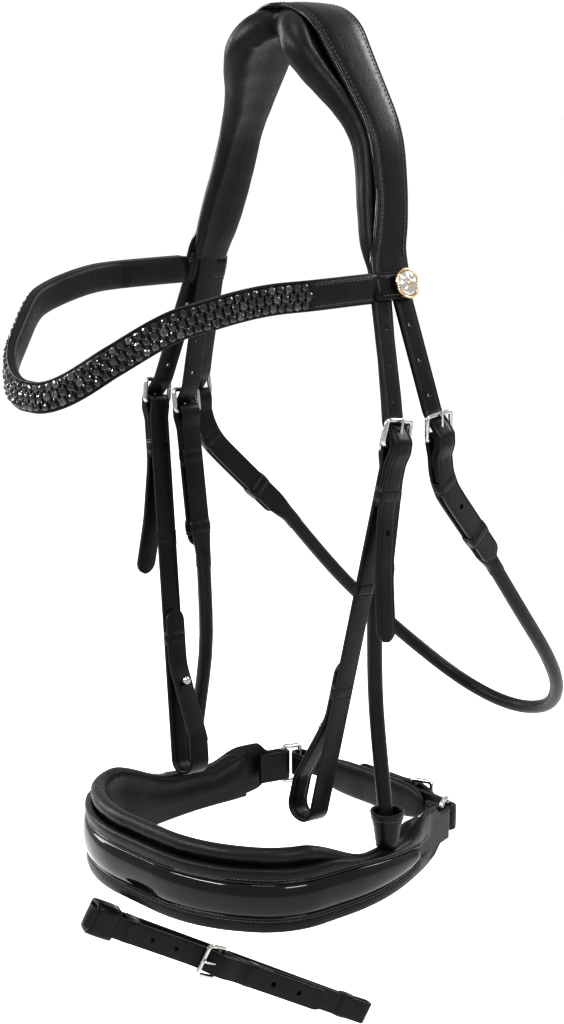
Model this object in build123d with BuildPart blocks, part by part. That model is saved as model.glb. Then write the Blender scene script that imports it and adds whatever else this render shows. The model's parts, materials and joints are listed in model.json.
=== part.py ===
"""Snaffle bridle with padded headpiece, crystal browband, rolled throatlash,
padded crank noseband and flash strap.

Frame: origin under the middle of the headpiece pad, where it rests on the poll.
+Z is up, the nose points along -Y, and the near side (the horse's left) is +X.
Every strap end is laid out on a station: a plane at its buckle's heel bar whose
y axis runs up the strap and whose z axis points away from the horse.
"""

from build123d import *

import os
from math import atan2, cos, hypot, radians, sin, tan

# ---------------------------------------------------------------- leather sizes
STRAP_WIDTH = 14.0
LEATHER = 2.2
CROWN_LEATHER = 2.6
ROLL_DIAMETER = 8.8
KEEPER_WALL = 1.5
KEEPER_LENGTH = 9.0
RUNNER_PLAY = 0.35
LAYER_GAP = 0.3
FOLD_GAP = 0.6

# ---------------------------------------------------------------- buckle sizes
WIRE_RADIUS = 1.4
PIN_FIT = 0.05
FRAME_HALF_WIDTH = 9.3
TOE_REACH = 12.5
TOE_LIFT = 4.6
TONGUE_RADIUS = 1.0
TONGUE_WIDTH = 3.0
SLOT_WIDTH = 4.0

# ---------------------------------------------------------------- headpiece
SHOULDER_X = 38.0
CROWN_Z = 9.5
BAR_X = 102.4
BAR_Z = -223.5
POLL_X = 20.0
POLL_RADIUS = 33.0
KNEE = (60.0, -58.0)
KNEE_RADIUS = 80.0
LEG_AT = 135.0
KNEE_FOOT = 70.0
LEG_RADIUS = 150.0
BROW_Z = -141.0
BROW_Y = 13.5
CHEEK_BAR_Y = -6.1
THROAT_BAR_Y = 28.0
PAD_THICKNESS = 5.6
PAD_HALF_LENGTH = 143.0
SLIPHEAD_WIDTH = 13.0
SLIPHEAD_BROW_Y = 11.0

# ---------------------------------------------------------------- cheekpieces
CHEEK_DOWN = (-40.6, -17.8, -223.2)
CHEEK_LENGTH = 228.0
BIT_LOOP_DEPTH = 18.0
BIT_TIP_AT = 128.0
BIT_KEEPER_AT = 146.0
HOOK_AT = 172.0
CHEEK_RUNNER_AT = 84.0

# ---------------------------------------------------------------- hangers
HANGER_BAR = (88.0, 6.5, -229.0)
HANGER_DOWN = (-12.0, 0.5, -89.0)
HANGER_HINGE_AT = 88.0
ROLL_GAP = 1.8

# ---------------------------------------------------------------- throatlash
# Each flat end leaves its buckle in line with the billet and curves to the rear.
THROAT_LEAN = (-13.4, 63.0, -84.5)
BEND_CORNER = 24.0
BEND_RADIUS = 45.0
BEND_ANGLE = radians(40)
BEND_REST = 85.0
BEND_TURN_BACK = radians(31.3)
THROAT_HINGE_AT = BEND_CORNER + BEND_REST - 2 * BEND_RADIUS * tan(BEND_ANGLE / 2)
THROAT_HINGE_AT += BEND_RADIUS * BEND_ANGLE

# ---------------------------------------------------------------- noseband
COLLAR = (87.0, 7.0, -452.0)
NOSE_TOP = -453.0
NOSE_BOTTOM = -491.0
SQUARE_Z = -468.0
SQUARE_HEIGHT = 24.0
SQUARE_DEPTH = 12.0
SQUARE_WIRE = 1.5
DIP_Z = -461.3

# ---------------------------------------------------------------- chin strap
CHIN_LEATHER = 2.4
CHIN_WIDTH = 15.0
CHIN_FOLD_GAP = 1.6
CHIN_BOW = 2.7
CHIN_PAD_WALL = 7.0
CHIN_PAD_HEIGHT = 22.0
CHIN_BAR_X = 24.0

# ---------------------------------------------------------------- flash strap
TAB_CENTRE = (-20.0, -118.0, -504.0)
FLASH_END = (45.0, 32.0, -588.0)
FLASH_BAR_AT = 78.0
FLASH_BACK = -10.4
FLASH_TIP_AT = 74.0

os.makedirs("parts", exist_ok=True)

DOWN_RIGHT = Vector(BAR_X - SHOULDER_X, 0, BAR_Z - CROWN_Z).normalized()
OUT_RIGHT = Vector(-DOWN_RIGHT.Z, 0, DOWN_RIGHT.X)
SIDES = (("near", 1), ("far", -1))


# ================================================================ layout helpers
def strap_plane(origin, down, outward):
    """Plane on a strap: x across it, y up it, z outward from its face."""
    up = -Vector(*down).normalized()
    out = Vector(*outward)
    out = (out - up * out.dot(up)).normalized()
    return Plane(origin=origin, x_dir=up.cross(out), z_dir=out)


def station(origin, down, side):
    """Strap plane on one side of the head, its outward face away from the horse."""
    place = (origin[0] * side, origin[1], origin[2])
    return strap_plane(place, (down[0] * side, down[1], down[2]), (side, 0, 0))


def profile(st):
    """Plane seen from the strap's edge: x runs down the strap, y outward."""
    return Plane(origin=st.origin, x_dir=-st.y_dir, z_dir=-st.x_dir)


def section(st, down):
    """Plane across the strap at a distance below the bar: x across, y outward."""
    return Plane(origin=st.origin - st.y_dir * down, x_dir=st.x_dir, z_dir=-st.y_dir)


def along_bend(st, side, down):
    """Station further down a throat strap, which curves to the rear in its own plane."""
    lead = BEND_CORNER - BEND_RADIUS * tan(BEND_ANGLE / 2)
    arc = BEND_RADIUS * BEND_ANGLE
    turn = min(max((down - lead) / BEND_RADIUS, 0), BEND_ANGLE)
    rear = BEND_RADIUS * (1 - cos(turn)) + max(down - lead - arc, 0) * sin(turn)
    drop = min(down, lead) + BEND_RADIUS * sin(turn) + max(down - lead - arc, 0) * cos(turn)
    up = st.y_dir * cos(turn) - st.x_dir * sin(turn) * side
    place = st.origin + st.x_dir * rear * side - st.y_dir * drop
    return Plane(place, x_dir=up.cross(st.z_dir), z_dir=st.z_dir)


def inset_route(points, distance):
    """Corners of the route that runs parallel to an open one, to its left."""
    moved = []
    for index, point in enumerate(points):
        here = Vector(*point)
        before = Vector(*points[max(index - 1, 0)])
        after = Vector(*points[min(index + 1, len(points) - 1)])
        incoming = (here - before if index else after - here).normalized()
        outgoing = (after - here if index < len(points) - 1 else here - before).normalized()
        left_in = Vector(-incoming.Y, incoming.X)
        left_out = Vector(-outgoing.Y, outgoing.X)
        bisector = (left_in + left_out).normalized()
        moved.append(tuple(here + bisector * (distance / bisector.dot(left_in)))[:2])
    return moved


def finish(piece, name):
    """Label a piece and write it."""
    piece.part.label = name
    export_step(piece.part, f"parts/{name}.step")


# ================================================================ strap helpers
def ribbon(plane, points, radii, thickness, width):
    """Strap of constant thickness along a filleted route in its profile plane."""
    with BuildPart() as strip:
        with BuildSketch(plane):
            with BuildLine():
                FilletPolyline(*points, radius=radii)
            trace(line_width=thickness)
        extrude(amount=width / 2, both=True)
    return strip


def punch(strip, st, places, radius, open_slot=False):
    """Cut round holes at distances below a station, and the tongue's slot at it."""
    with BuildPart() as punched:
        add(strip.part)
        for down in places:
            with BuildSketch(Plane(st.origin - st.y_dir * down, x_dir=st.x_dir, z_dir=st.z_dir)):
                Circle(radius)
            extrude(amount=12, both=True, mode=Mode.SUBTRACT)
        if open_slot:
            with BuildSketch(st):
                with Locations((0, 5.0)):
                    Rectangle(SLOT_WIDTH - 0.4, 11.0)
            extrude(amount=9, mode=Mode.SUBTRACT)
    return punched


def chape(st, tail, width=STRAP_WIDTH - 0.4):
    """Strap folded round the heel bar, slotted for the tongue, running to a tail."""
    turn = WIRE_RADIUS + FOLD_GAP + LEATHER / 2
    layer = LEATHER / 2 + 0.15
    points = [(34, layer), (10, layer), (3, turn), (-turn, turn)]
    points += [(-turn, -turn), (3, -turn), (10, -layer)]
    radii = [8, 8, turn - 0.1, turn - 0.1, 8, 8]
    strip = ribbon(profile(st), points + tail[0], radii + tail[1], LEATHER, width)
    with BuildPart() as folded:
        add(strip.part)
        with BuildSketch(st):
            Rectangle(SLOT_WIDTH, 9.0)
        extrude(amount=6, both=True, mode=Mode.SUBTRACT)
    return folded


def billet_tail(st, points, radii):
    """Lower end of a billet, from the heel bar over the chape to its round tip."""
    strip = ribbon(profile(st), points, radii, CROWN_LEATHER, STRAP_WIDTH - 0.6)
    length = points[-1][0]
    with BuildPart() as tail:
        add(strip.part)
        with BuildSketch(st):
            with Locations((0, -length / 2)):
                SlotOverall(length + 8, STRAP_WIDTH - 0.6, rotation=90)
            Rectangle(STRAP_WIDTH - 0.6, 20)
        extrude(amount=60, both=True, mode=Mode.INTERSECT)
    return tail


def buckle(st):
    """Round-wire frame: heel bar on the station, toe bar lifted over the billet."""
    reach = hypot(TOE_REACH, TOE_LIFT)
    up = (st.y_dir * TOE_REACH + st.z_dir * TOE_LIFT).normalized()
    frame_plane = Plane(st.origin, x_dir=st.x_dir, z_dir=st.x_dir.cross(up))
    half = FRAME_HALF_WIDTH
    with BuildPart() as frame:
        with BuildLine(frame_plane) as wire:
            corners = [(-half, 0), (-half, reach), (half, reach), (half, 0)]
            FilletPolyline(*corners, radius=2.2, close=True)
        with BuildSketch(Plane(wire.line @ 0, z_dir=wire.line % 0)):
            Circle(WIRE_RADIUS)
        sweep()
    return frame


def tongue(st):
    """Buckle tongue: an eye turning on the heel bar and a finger over the toe bar."""
    side = profile(st)
    rest = TOE_LIFT + WIRE_RADIUS + TONGUE_RADIUS + 0.1
    with BuildPart() as pin:
        with BuildSketch(side):
            Circle(WIRE_RADIUS + 1.3)
        extrude(amount=TONGUE_WIDTH / 2, both=True)
        with BuildLine(side) as finger:
            Line((0.3, 2.3), (-TOE_REACH - 2.2, rest + 0.9))
        with BuildSketch(Plane(finger.line @ 0, z_dir=finger.line % 0)):
            Circle(TONGUE_RADIUS)
        sweep()
        with BuildSketch(side):
            Circle(WIRE_RADIUS + PIN_FIT)
        extrude(amount=TONGUE_WIDTH, both=True, mode=Mode.SUBTRACT)
    return pin


def keeper(st, at, low, high, play=0.1, wall=KEEPER_WALL, width=STRAP_WIDTH):
    """Leather band round a strap, its inside running from low to high outward."""
    inner_width = width + 2 * play
    inner_height = high - low + 2 * play
    with BuildPart() as band:
        with BuildSketch(section(st, at - KEEPER_LENGTH / 2)):
            with Locations((0, (low + high) / 2)):
                RectangleRounded(inner_width + 2 * wall, inner_height + 2 * wall, wall)
                Rectangle(inner_width, inner_height, mode=Mode.SUBTRACT)
        extrude(amount=KEEPER_LENGTH)
    return band


# ================================================================ headpiece
def arch_points(depth, foot):
    """Half of the arch seen from the front, parallel to the crown leather.

    From the poll it goes to a knee behind the ear, then to the straight leg."""
    leg = Vector(SHOULDER_X + DOWN_RIGHT.X * LEG_AT, CROWN_Z + DOWN_RIGHT.Z * LEG_AT)
    stops = [Vector(POLL_X, CROWN_Z), Vector(*KNEE), leg]
    normals = [Vector(0, 1)]
    for start, stop in zip(stops, stops[1:]):
        slope = (stop - start).normalized()
        normals.append(Vector(-slope.Y, slope.X))
    normals.append(Vector(OUT_RIGHT.X, OUT_RIGHT.Z))
    points = []
    for corner, above, below in zip(stops, normals, normals[1:]):
        inward = (above + below) * (depth / (1 + above.dot(below)))
        points.append((corner.X - inward.X, corner.Y - inward.Y))
    if foot <= LEG_AT:
        points.pop()
        share = (foot - KNEE_FOOT) / (LEG_AT - KNEE_FOOT)
        place = stops[1] + (stops[2] - stops[1]) * share - normals[2] * depth
        return points + [(place.X, place.Y)]
    foot_x = SHOULDER_X + DOWN_RIGHT.X * foot - OUT_RIGHT.X * depth
    foot_z = CROWN_Z + DOWN_RIGHT.Z * foot - OUT_RIGHT.Z * depth
    return points + [(foot_x, foot_z)]


def arch_radii(depth, legs=True):
    """Corner radii of the arch at that depth, from the near leg to the far one."""
    poll, knee, leg = POLL_RADIUS - depth, KNEE_RADIUS - depth, LEG_RADIUS + depth
    return [leg, knee, poll, poll, knee, leg] if legs else [knee, poll, poll, knee]


def mirrored_route(half):
    """Full route from a half that starts at the middle of the arch."""
    return [(-x, z) for x, z in reversed(half)] + list(half)


SIDE_LENGTH = hypot(BAR_X - SHOULDER_X, BAR_Z - CROWN_Z)


def billet_end(bar, down, out):
    """Route of a billet that passes behind a toe bar and over the heel bar."""
    stops = [(27.0, 0.0), (TOE_REACH + 2.0, 0.1), (4.4, 4.3)]
    return [(bar[0] - down[0] * s + out[0] * n, bar[1] - down[1] * s + out[1] * n) for s, n in stops]


crown_corners = arch_points(0, SIDE_LENGTH)[:3]
crown_end = billet_end(
    (BAR_X, BAR_Z), (DOWN_RIGHT.X, DOWN_RIGHT.Z), (OUT_RIGHT.X, OUT_RIGHT.Z)
)
crown_half = crown_corners + crown_end
crown_radii = [8, 20, *arch_radii(0), 20, 8]

with BuildPart() as crown_strap:
    with BuildSketch(Plane.XZ):
        with BuildLine():
            FilletPolyline(*mirrored_route(crown_half), radius=crown_radii)
        trace(line_width=CROWN_LEATHER)
    extrude(amount=70, both=True)
    with BuildSketch(Plane.YZ):
        with BuildLine():
            FilletPolyline(
                (0, 20), (5, -10), (10, -38), (13.5, -72), (12, -98), (1.0, -128), (0, -144),
                (CHEEK_BAR_Y - 6.5, BAR_Z), (CHEEK_BAR_Y + 6.5, BAR_Z), (13.3, -150),
                (13.7, -150), (THROAT_BAR_Y - 6.6, BAR_Z), (THROAT_BAR_Y + 6.6, BAR_Z),
                (27, -144), (27.4, -128), (35.5, -104), (39, -70), (40.4, -38), (41, -6), (40, 20),
                radius=[0, 20, 30, 30, 20, 16, 16, 0, 0, 0, 0, 0, 0, 16, 12, 20, 30, 40, 20, 0],
                close=True,
            )
        make_face()
    extrude(amount=140, both=True, mode=Mode.INTERSECT)

UPPER_CHEEK_DOWN = (BAR_X - 79.0, CHEEK_BAR_Y - 6.7, BAR_Z - BROW_Z)
UPPER_THROAT_DOWN = (BAR_X - 79.0, THROAT_BAR_Y - 20.2, BAR_Z - BROW_Z)
for side_name, side in SIDES:
    for bar_y, down in ((CHEEK_BAR_Y, UPPER_CHEEK_DOWN), (THROAT_BAR_Y, UPPER_THROAT_DOWN)):
        upper = station((BAR_X, bar_y, BAR_Z), down, side)
        crown_strap = punch(crown_strap, upper, [-24, -44, -64], 1.5, open_slot=True)
finish(crown_strap, "crown_strap")

sliphead_depth = (CROWN_LEATHER + LEATHER) / 2 + 0.2
sliphead_half = arch_points(sliphead_depth, 165)
sliphead_up = Vector(sliphead_half[3][0] - HANGER_BAR[0], 0, sliphead_half[3][1] - HANGER_BAR[2])
sliphead_down = -sliphead_up.normalized()
sliphead_out = Vector(-sliphead_down.Z, 0, sliphead_down.X)
sliphead_half += billet_end(
    (HANGER_BAR[0], HANGER_BAR[2]),
    (sliphead_down.X, sliphead_down.Z),
    (sliphead_out.X, sliphead_out.Z),
)
with BuildPart() as sliphead:
    with BuildSketch(Plane.XZ):
        with BuildLine():
            FilletPolyline(
                *mirrored_route(sliphead_half),
                radius=[8, 20, 60, *arch_radii(sliphead_depth), 60, 20, 8],
            )
        trace(line_width=LEATHER)
    extrude(amount=70, both=True)
    half_slip = SLIPHEAD_WIDTH / 2
    with BuildSketch(Plane.YZ):
        with BuildLine():
            FilletPolyline(
                (20 - half_slip, 20), (20 - half_slip, -60), (SLIPHEAD_BROW_Y - half_slip, -150),
                (HANGER_BAR[1] - half_slip, HANGER_BAR[2] - 4),
                (HANGER_BAR[1] + half_slip, HANGER_BAR[2] - 4),
                (SLIPHEAD_BROW_Y + half_slip, -150), (20 + half_slip, -60), (20 + half_slip, 20),
                radius=[0, 60, 60, 0, 0, 60, 60, 0],
                close=True,
            )
        make_face()
    extrude(amount=140, both=True, mode=Mode.INTERSECT)
UPPER_HANGER_DOWN = (
    HANGER_BAR[0] - sliphead_half[3][0], HANGER_BAR[1] - SLIPHEAD_BROW_Y, HANGER_BAR[2] - sliphead_half[3][1]
)
for side_name, side in SIDES:
    upper = station(HANGER_BAR, UPPER_HANGER_DOWN, side)
    sliphead = punch(sliphead, upper, [-24, -44], 1.4, open_slot=True)
finish(sliphead, "sliphead")

pad_depth = CROWN_LEATHER / 2 + LEATHER + 0.4 + PAD_THICKNESS / 2
with BuildPart() as crown_pad:
    with BuildSketch(Plane.XZ):
        with BuildLine():
            FilletPolyline(
                *mirrored_route(arch_points(pad_depth, PAD_HALF_LENGTH)),
                radius=arch_radii(pad_depth),
            )
        trace(line_width=PAD_THICKNESS)
    extrude(amount=70, both=True)
    with BuildSketch(Plane.YZ):
        with BuildLine():
            FilletPolyline(
                (2, 20), (1, 0), (-3, -12), (0, -42), (4, -108), (3, -140),
                (25, -140), (32, -106), (37, -70), (38.4, -38), (39, -6), (38, 20),
                radius=[0, 8, 12, 30, 40, 0, 0, 30, 30, 30, 20, 0],
                close=True,
            )
        make_face()
    extrude(amount=140, both=True, mode=Mode.INTERSECT)
PAD_ROLL_RADIUS = 7.0
PAD_ROLL_Y = -1.0
PAD_ROLL_HALF_LENGTH = 96.0
roll_depth = CROWN_LEATHER / 2 + PAD_ROLL_RADIUS + 0.3
with BuildLine(Plane.XZ.offset(-PAD_ROLL_Y)) as roll_path:
    FilletPolyline(
        *mirrored_route(arch_points(roll_depth, PAD_ROLL_HALF_LENGTH)),
        radius=arch_radii(roll_depth, legs=False),
    )
roll_line = roll_path.wire()
with BuildPart() as crown_pad_roll:
    add(crown_pad.part)
    with BuildSketch(Plane(roll_line @ 0, z_dir=roll_line % 0)):
        Circle(PAD_ROLL_RADIUS)
    sweep(path=roll_line)
    with Locations(roll_line @ 0, roll_line @ 1):
        Sphere(PAD_ROLL_RADIUS)
finish(crown_pad_roll, "crown_pad")

# ================================================================ browband
# Seen from above the band is a deep bow; seen from the side it dips to the front.
BROW_ROUTE = [(79.5, 0.5), (81.0, -52), (66, -118), (26, -171)]
BROW_RADII = [120, 75, 46, 46, 75, 120]
LOOP_LENGTH = 15.0


def brow_band(distance, thickness, low, high, start, stop):
    """Upright bowed strip, cut to the browband's falling curve in side view."""
    route = BROW_ROUTE + [(-x, y) for x, y in reversed(BROW_ROUTE)]
    radii = [radius + distance for radius in BROW_RADII]
    with BuildPart() as strip:
        with BuildSketch(Plane.XY.offset(-230)):
            with BuildLine():
                FilletPolyline(*inset_route(route, distance), radius=radii)
            trace(line_width=thickness)
        extrude(amount=110)
        with BuildSketch(Plane.YZ):
            with BuildLine():
                fall = [(40, 0), (-62, -1), (-118, -10), (-150, -30), (-200, -71)]
                upper = [(y, BROW_Z + z + high) for y, z in fall]
                lower = [(y, BROW_Z + z + low) for y, z in reversed(fall)]
                FilletPolyline(
                    *upper, *lower,
                    radius=[0, 120, 80, 60, 0, 0, 60, 80, 120, 0], close=True,
                )
            make_face()
        extrude(amount=140, both=True, mode=Mode.INTERSECT)
        with BuildSketch(Plane.YZ):
            with Locations(((start + stop) / 2, -170)):
                Rectangle(abs(stop - start), 200)
        extrude(amount=140, both=True, mode=Mode.INTERSECT)
    return strip


browband_strap = brow_band(0, 3.0, -7.5, 7.5, -4, -200)
finish(browband_strap, "browband_strap")
browband_crystals = brow_band(3.6, 3.8, -7.5, 7.5, -46, -200)
finish(browband_crystals, "browband_crystals")

loop_low = -(CROWN_LEATHER / 2 + 0.2 + LEATHER) - 1.6
loop_high = CROWN_LEATHER / 2 + 1.6
loop_at = hypot(BROW_Z - CROWN_Z, (BROW_Z - CROWN_Z) * DOWN_RIGHT.X / DOWN_RIGHT.Z)
with BuildPart() as browband_loops:
    for side_name, side in SIDES:
        brow = station((SHOULDER_X, BROW_Y, CROWN_Z), (DOWN_RIGHT.X, 0, DOWN_RIGHT.Z), side)
        with BuildSketch(section(brow, loop_at - LOOP_LENGTH / 2)):
            with Locations((0, (loop_low + loop_high) / 2)):
                RectangleRounded(27.6 + 2 * 2.2 + 2, loop_high - loop_low + 2 * 2.2, 2.0)
                Rectangle(27.6 + 2, loop_high - loop_low, mode=Mode.SUBTRACT)
        extrude(amount=LOOP_LENGTH)
finish(browband_loops, "browband_loops")

BADGE_RADIUS = 8.6
BADGE_Y = 6.0
with BuildPart() as browband_badges:
    for side_name, side in SIDES:
        brow = station((SHOULDER_X, BROW_Y, CROWN_Z), (DOWN_RIGHT.X, 0, DOWN_RIGHT.Z), side)
        foot = brow.origin - brow.y_dir * loop_at + brow.z_dir * (loop_high + 2.2)
        centre = foot + Vector(0, BADGE_Y, 0)
        with BuildSketch(Plane(centre, x_dir=(0, 1, 0), z_dir=brow.z_dir)):
            Circle(BADGE_RADIUS)
        extrude(amount=3.2, taper=28)
finish(browband_badges, "browband_badges")

# ================================================================ cheekpieces
for side_name, side in SIDES:
    upper = station((BAR_X, CHEEK_BAR_Y, BAR_Z), UPPER_CHEEK_DOWN, side)
    lower = station((BAR_X, CHEEK_BAR_Y, BAR_Z), CHEEK_DOWN, side)
    layer = LEATHER / 2 + 0.15
    inner = -(layer + LEATHER + 0.65)
    bottom = -layer - BIT_LOOP_DEPTH
    bit_tail = (
        [(CHEEK_LENGTH, -layer), (CHEEK_LENGTH, bottom), (CHEEK_LENGTH - 22, bottom),
         (BIT_KEEPER_AT + 16, inner), (BIT_TIP_AT, inner)],
        [8.0, 8.0, 14, 30],
    )
    hook_plane = Plane(lower.origin - lower.y_dir * HOOK_AT, x_dir=lower.x_dir, z_dir=-lower.z_dir)
    folded_strap = chape(lower, bit_tail).part
    with BuildPart() as cheekpiece:
        add(folded_strap)
        with BuildSketch(hook_plane.offset(4.0)):
            Circle(1.35)
        extrude(amount=12, mode=Mode.SUBTRACT)
    finish(cheekpiece, f"cheekpiece_{side_name}")

    with BuildPart() as hook_stud:
        with BuildSketch(hook_plane.offset(4.6)):
            Circle(1.25)
        extrude(amount=8.4)
        with BuildSketch(hook_plane.offset(11.4)):
            Circle(2.6)
        extrude(amount=1.6, taper=20)
    finish(hook_stud, f"hook_stud_{side_name}")

    cheek_buckle = buckle(upper)
    finish(cheek_buckle, f"cheek_buckle_{side_name}")
    cheek_tongue = tongue(upper)
    finish(cheek_tongue, f"cheek_tongue_{side_name}")

    billet_n = layer + LEATHER / 2 + 0.1 + CROWN_LEATHER / 2
    cheek_billet = billet_tail(
        lower, [(-1.5, 5.8), (3.4, 5.6), (10.5, billet_n), (37, billet_n), (106, billet_n + 19)],
        [6, 10, 40],
    )
    cheek_billet = punch(cheek_billet, lower, [48], 1.5)
    finish(cheek_billet, f"cheek_billet_{side_name}")

    strap_low = -layer - LEATHER / 2
    billet_high = billet_n + CROWN_LEATHER / 2
    finish(keeper(lower, 27.5, strap_low, billet_high), f"cheek_keeper_{side_name}")
    runner = keeper(lower, CHEEK_RUNNER_AT, strap_low, -strap_low - LEATHER - 0.3, play=RUNNER_PLAY)
    finish(runner, f"cheek_runner_{side_name}")
    bit_keeper = keeper(lower, BIT_KEEPER_AT, inner - LEATHER / 2, -0.15)
    finish(bit_keeper, f"bit_keeper_{side_name}")

# ================================================================ hangers, throat ends
layer = LEATHER / 2 + 0.15
billet_n = layer + LEATHER / 2 + 0.1 + CROWN_LEATHER / 2
stack_low = -layer - LEATHER / 2
stack_high = billet_n + CROWN_LEATHER / 2


def straight_along(st, side, down):
    """Station further down a straight strap."""
    return Plane(st.origin - st.y_dir * down, x_dir=st.x_dir, z_dir=st.z_dir)


def throat_station(side):
    """Station at a throat buckle whose strap curves in plane to the throatlash."""
    leaning = station((BAR_X, THROAT_BAR_Y, BAR_Z), THROAT_LEAN, side)
    turn = BEND_TURN_BACK
    up = leaning.y_dir * cos(turn) + leaning.x_dir * sin(turn) * side
    return Plane(leaning.origin, x_dir=up.cross(leaning.z_dir), z_dir=leaning.z_dir)


def trim_to_bend(piece, st, side, stop, width):
    """Cut a wide strap to the throat strap's curved outline seen from outside."""
    tip = along_bend(st, side, stop).origin - st.origin
    corner = (0, -BEND_CORNER)
    with BuildPart() as trimmed:
        add(piece.part)
        with BuildSketch(st):
            with BuildLine():
                FilletPolyline((0, 7), corner, (tip.dot(st.x_dir), tip.dot(st.y_dir)), radius=BEND_RADIUS)
            trace(line_width=width)
        extrude(amount=12, both=True, mode=Mode.INTERSECT)
    return trimmed


def round_tip(piece, end, width, low=-12.0):
    """Round a billet's end off with an arc of its own width, from a height outward."""
    with BuildPart() as rounded:
        add(piece.part)
        with BuildSketch(end.offset(low)):
            with Locations((0, 4)):
                Rectangle(width + 4, 8)
            with Locations((0, 8)):
                Circle(width / 2, mode=Mode.SUBTRACT)
            with Locations((0, 8 + width / 2)):
                Rectangle(width + 6, width, mode=Mode.SUBTRACT)
        extrude(amount=12 - low, mode=Mode.SUBTRACT)
    return rounded


FLAT_ENDS = (
    ("hanger", HANGER_BAR, UPPER_HANGER_DOWN, straight_along, HANGER_HINGE_AT, 84.0, 72.0),
    ("throat", (BAR_X, THROAT_BAR_Y, BAR_Z), UPPER_THROAT_DOWN, along_bend, THROAT_HINGE_AT, 101.0, 77.0),
)
for end_name, bar, upper_down, along, hinge_at, tip_at, runner_at in FLAT_ENDS:
    bent = along is along_bend
    stations = [
        throat_station(side) if bent else station(bar, HANGER_DOWN, side) for name, side in SIDES
    ]
    uppers = [station(bar, upper_down, side) for name, side in SIDES]
    bands = [
        keeper(along(st, side, 27.5), 0, stack_low, stack_high).part
        for st, (name, side) in zip(stations, SIDES)
    ]
    with BuildPart() as keepers:
        add(bands)
    finish(keepers, f"{end_name}_keepers")
    frames = [buckle(upper).part for upper in uppers]
    with BuildPart() as buckles:
        add(frames)
    finish(buckles, f"{end_name}_buckles")
    tails = []
    for (side_name, side), upper, lower in zip(SIDES, uppers, stations):
        end = hinge_at - ROLL_GAP
        reach = along(lower, side, end).origin - lower.origin
        drop = -reach.dot(lower.y_dir)
        flat = chape(lower, ([(drop + (9 if bent else 0), -layer)], []), 150 if bent else STRAP_WIDTH - 0.4)
        if bent:
            flat = trim_to_bend(flat, lower, side, end, STRAP_WIDTH - 0.4)
        last = along(lower, side, end)
        with BuildPart() as tapered:
            add(flat.part)
            with BuildSketch(last):
                with BuildLine():
                    Polyline((-9, 14), (-4.4, -1), (4.4, -1), (9, 14), (9, -12), (-9, -12), (-9, 14))
                make_face()
            extrude(amount=12, both=True, mode=Mode.SUBTRACT)
        finish(tapered, f"{end_name}_flat_{side_name}")
        finish(tongue(upper), f"{end_name}_tongue_{side_name}")
        width = STRAP_WIDTH - 0.6
        tip = along(lower, side, tip_at)
        tip_drop = -(tip.origin - lower.origin).dot(lower.y_dir)
        route = [(-1.5, 5.8), (3.4, 5.6), (10.5, billet_n), (tip_drop + (9 if bent else 0), billet_n)]
        tail = ribbon(profile(lower), route, [6, 10], CROWN_LEATHER, 150 if bent else width)
        if bent:
            tail = trim_to_bend(tail, lower, side, tip_at, width)
        tail = round_tip(tail, tip, width)
        tail = punch(tail, along(lower, side, 48), [0], 1.4)
        tails.append(tail.part)
        runner = keeper(along(lower, side, runner_at), 0, stack_low, stack_high, play=RUNNER_PLAY)
        finish(runner, f"{end_name}_runner_{side_name}")
    with BuildPart() as billets:
        add(tails)
    finish(billets, f"{end_name}_billets")


def world_point(st, down, out):
    """Point at a distance down a strap and outward from its station."""
    return st.origin - st.y_dir * down + st.z_dir * out


# ================================================================ rolled hangers
with BuildPart() as hanger_rolls:
    for side_name, side in SIDES:
        lower = station(HANGER_BAR, HANGER_DOWN, side)
        top = world_point(lower, HANGER_HINGE_AT + ROLL_GAP, -layer)
        with BuildLine() as centre_line:
            FilletPolyline(
                top, (74 * side, 9, -376), (COLLAR[0] * side, COLLAR[1], COLLAR[2]), radius=[220]
            )
        with BuildSketch(Plane(centre_line.line @ 0, z_dir=centre_line.line % 0)):
            Circle(ROLL_DIAMETER / 2)
        sweep()
        with Locations((COLLAR[0] * side, COLLAR[1], COLLAR[2])):
            Sphere(ROLL_DIAMETER / 2)
finish(hanger_rolls, "hanger_rolls")

# ================================================================ rolled throatlash
throat_end = along_bend(throat_station(1), 1, THROAT_HINGE_AT)
print("throatlash hinge", throat_end.origin)
throat_start = world_point(throat_end, ROLL_GAP, -layer)
throat_half = [
    (throat_start.X, throat_start.Y, throat_start.Z),
    (84, 124, -345), (77, 156, -377), (64, 185, -406), (42, 206, -430), (14, 214, -441),
]
throat_route = throat_half + [(-x, y, z) for x, y, z in reversed(throat_half)]


def cord_radii(route):
    """Largest tangent arcs that the runs on both sides of each corner allow."""
    radii = []
    for before, here, after in zip(route, route[1:], route[2:]):
        run_in = Vector(*here) - Vector(*before)
        run_out = Vector(*after) - Vector(*here)
        shorter = min(run_in.length, run_out.length)
        radii.append(0.45 * shorter / tan(radians(run_in.get_angle(run_out) / 2)))
    return radii


throat_radii = cord_radii(throat_route)
print("throatlash arc radii", [round(radius) for radius in throat_radii])
with BuildPart() as throatlash_roll:
    with BuildLine() as throat_line:
        FilletPolyline(*throat_route, radius=throat_radii)
    with BuildSketch(Plane(throat_line.line @ 0, z_dir=throat_line.line % 0)):
        Circle(ROLL_DIAMETER / 2)
    sweep()
print("throatlash length", round(throat_line.wire().length, 1))
finish(throatlash_roll, "throatlash_roll")

# ================================================================ noseband
NOSE_ROUTE = [(76.5, 62), (95, -5), (90, -72), (46, -105)]
NOSE_RADII = [150, 48, 90]
PAD_WALL = 7.0
PATENT_WALL = 3.4


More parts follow.
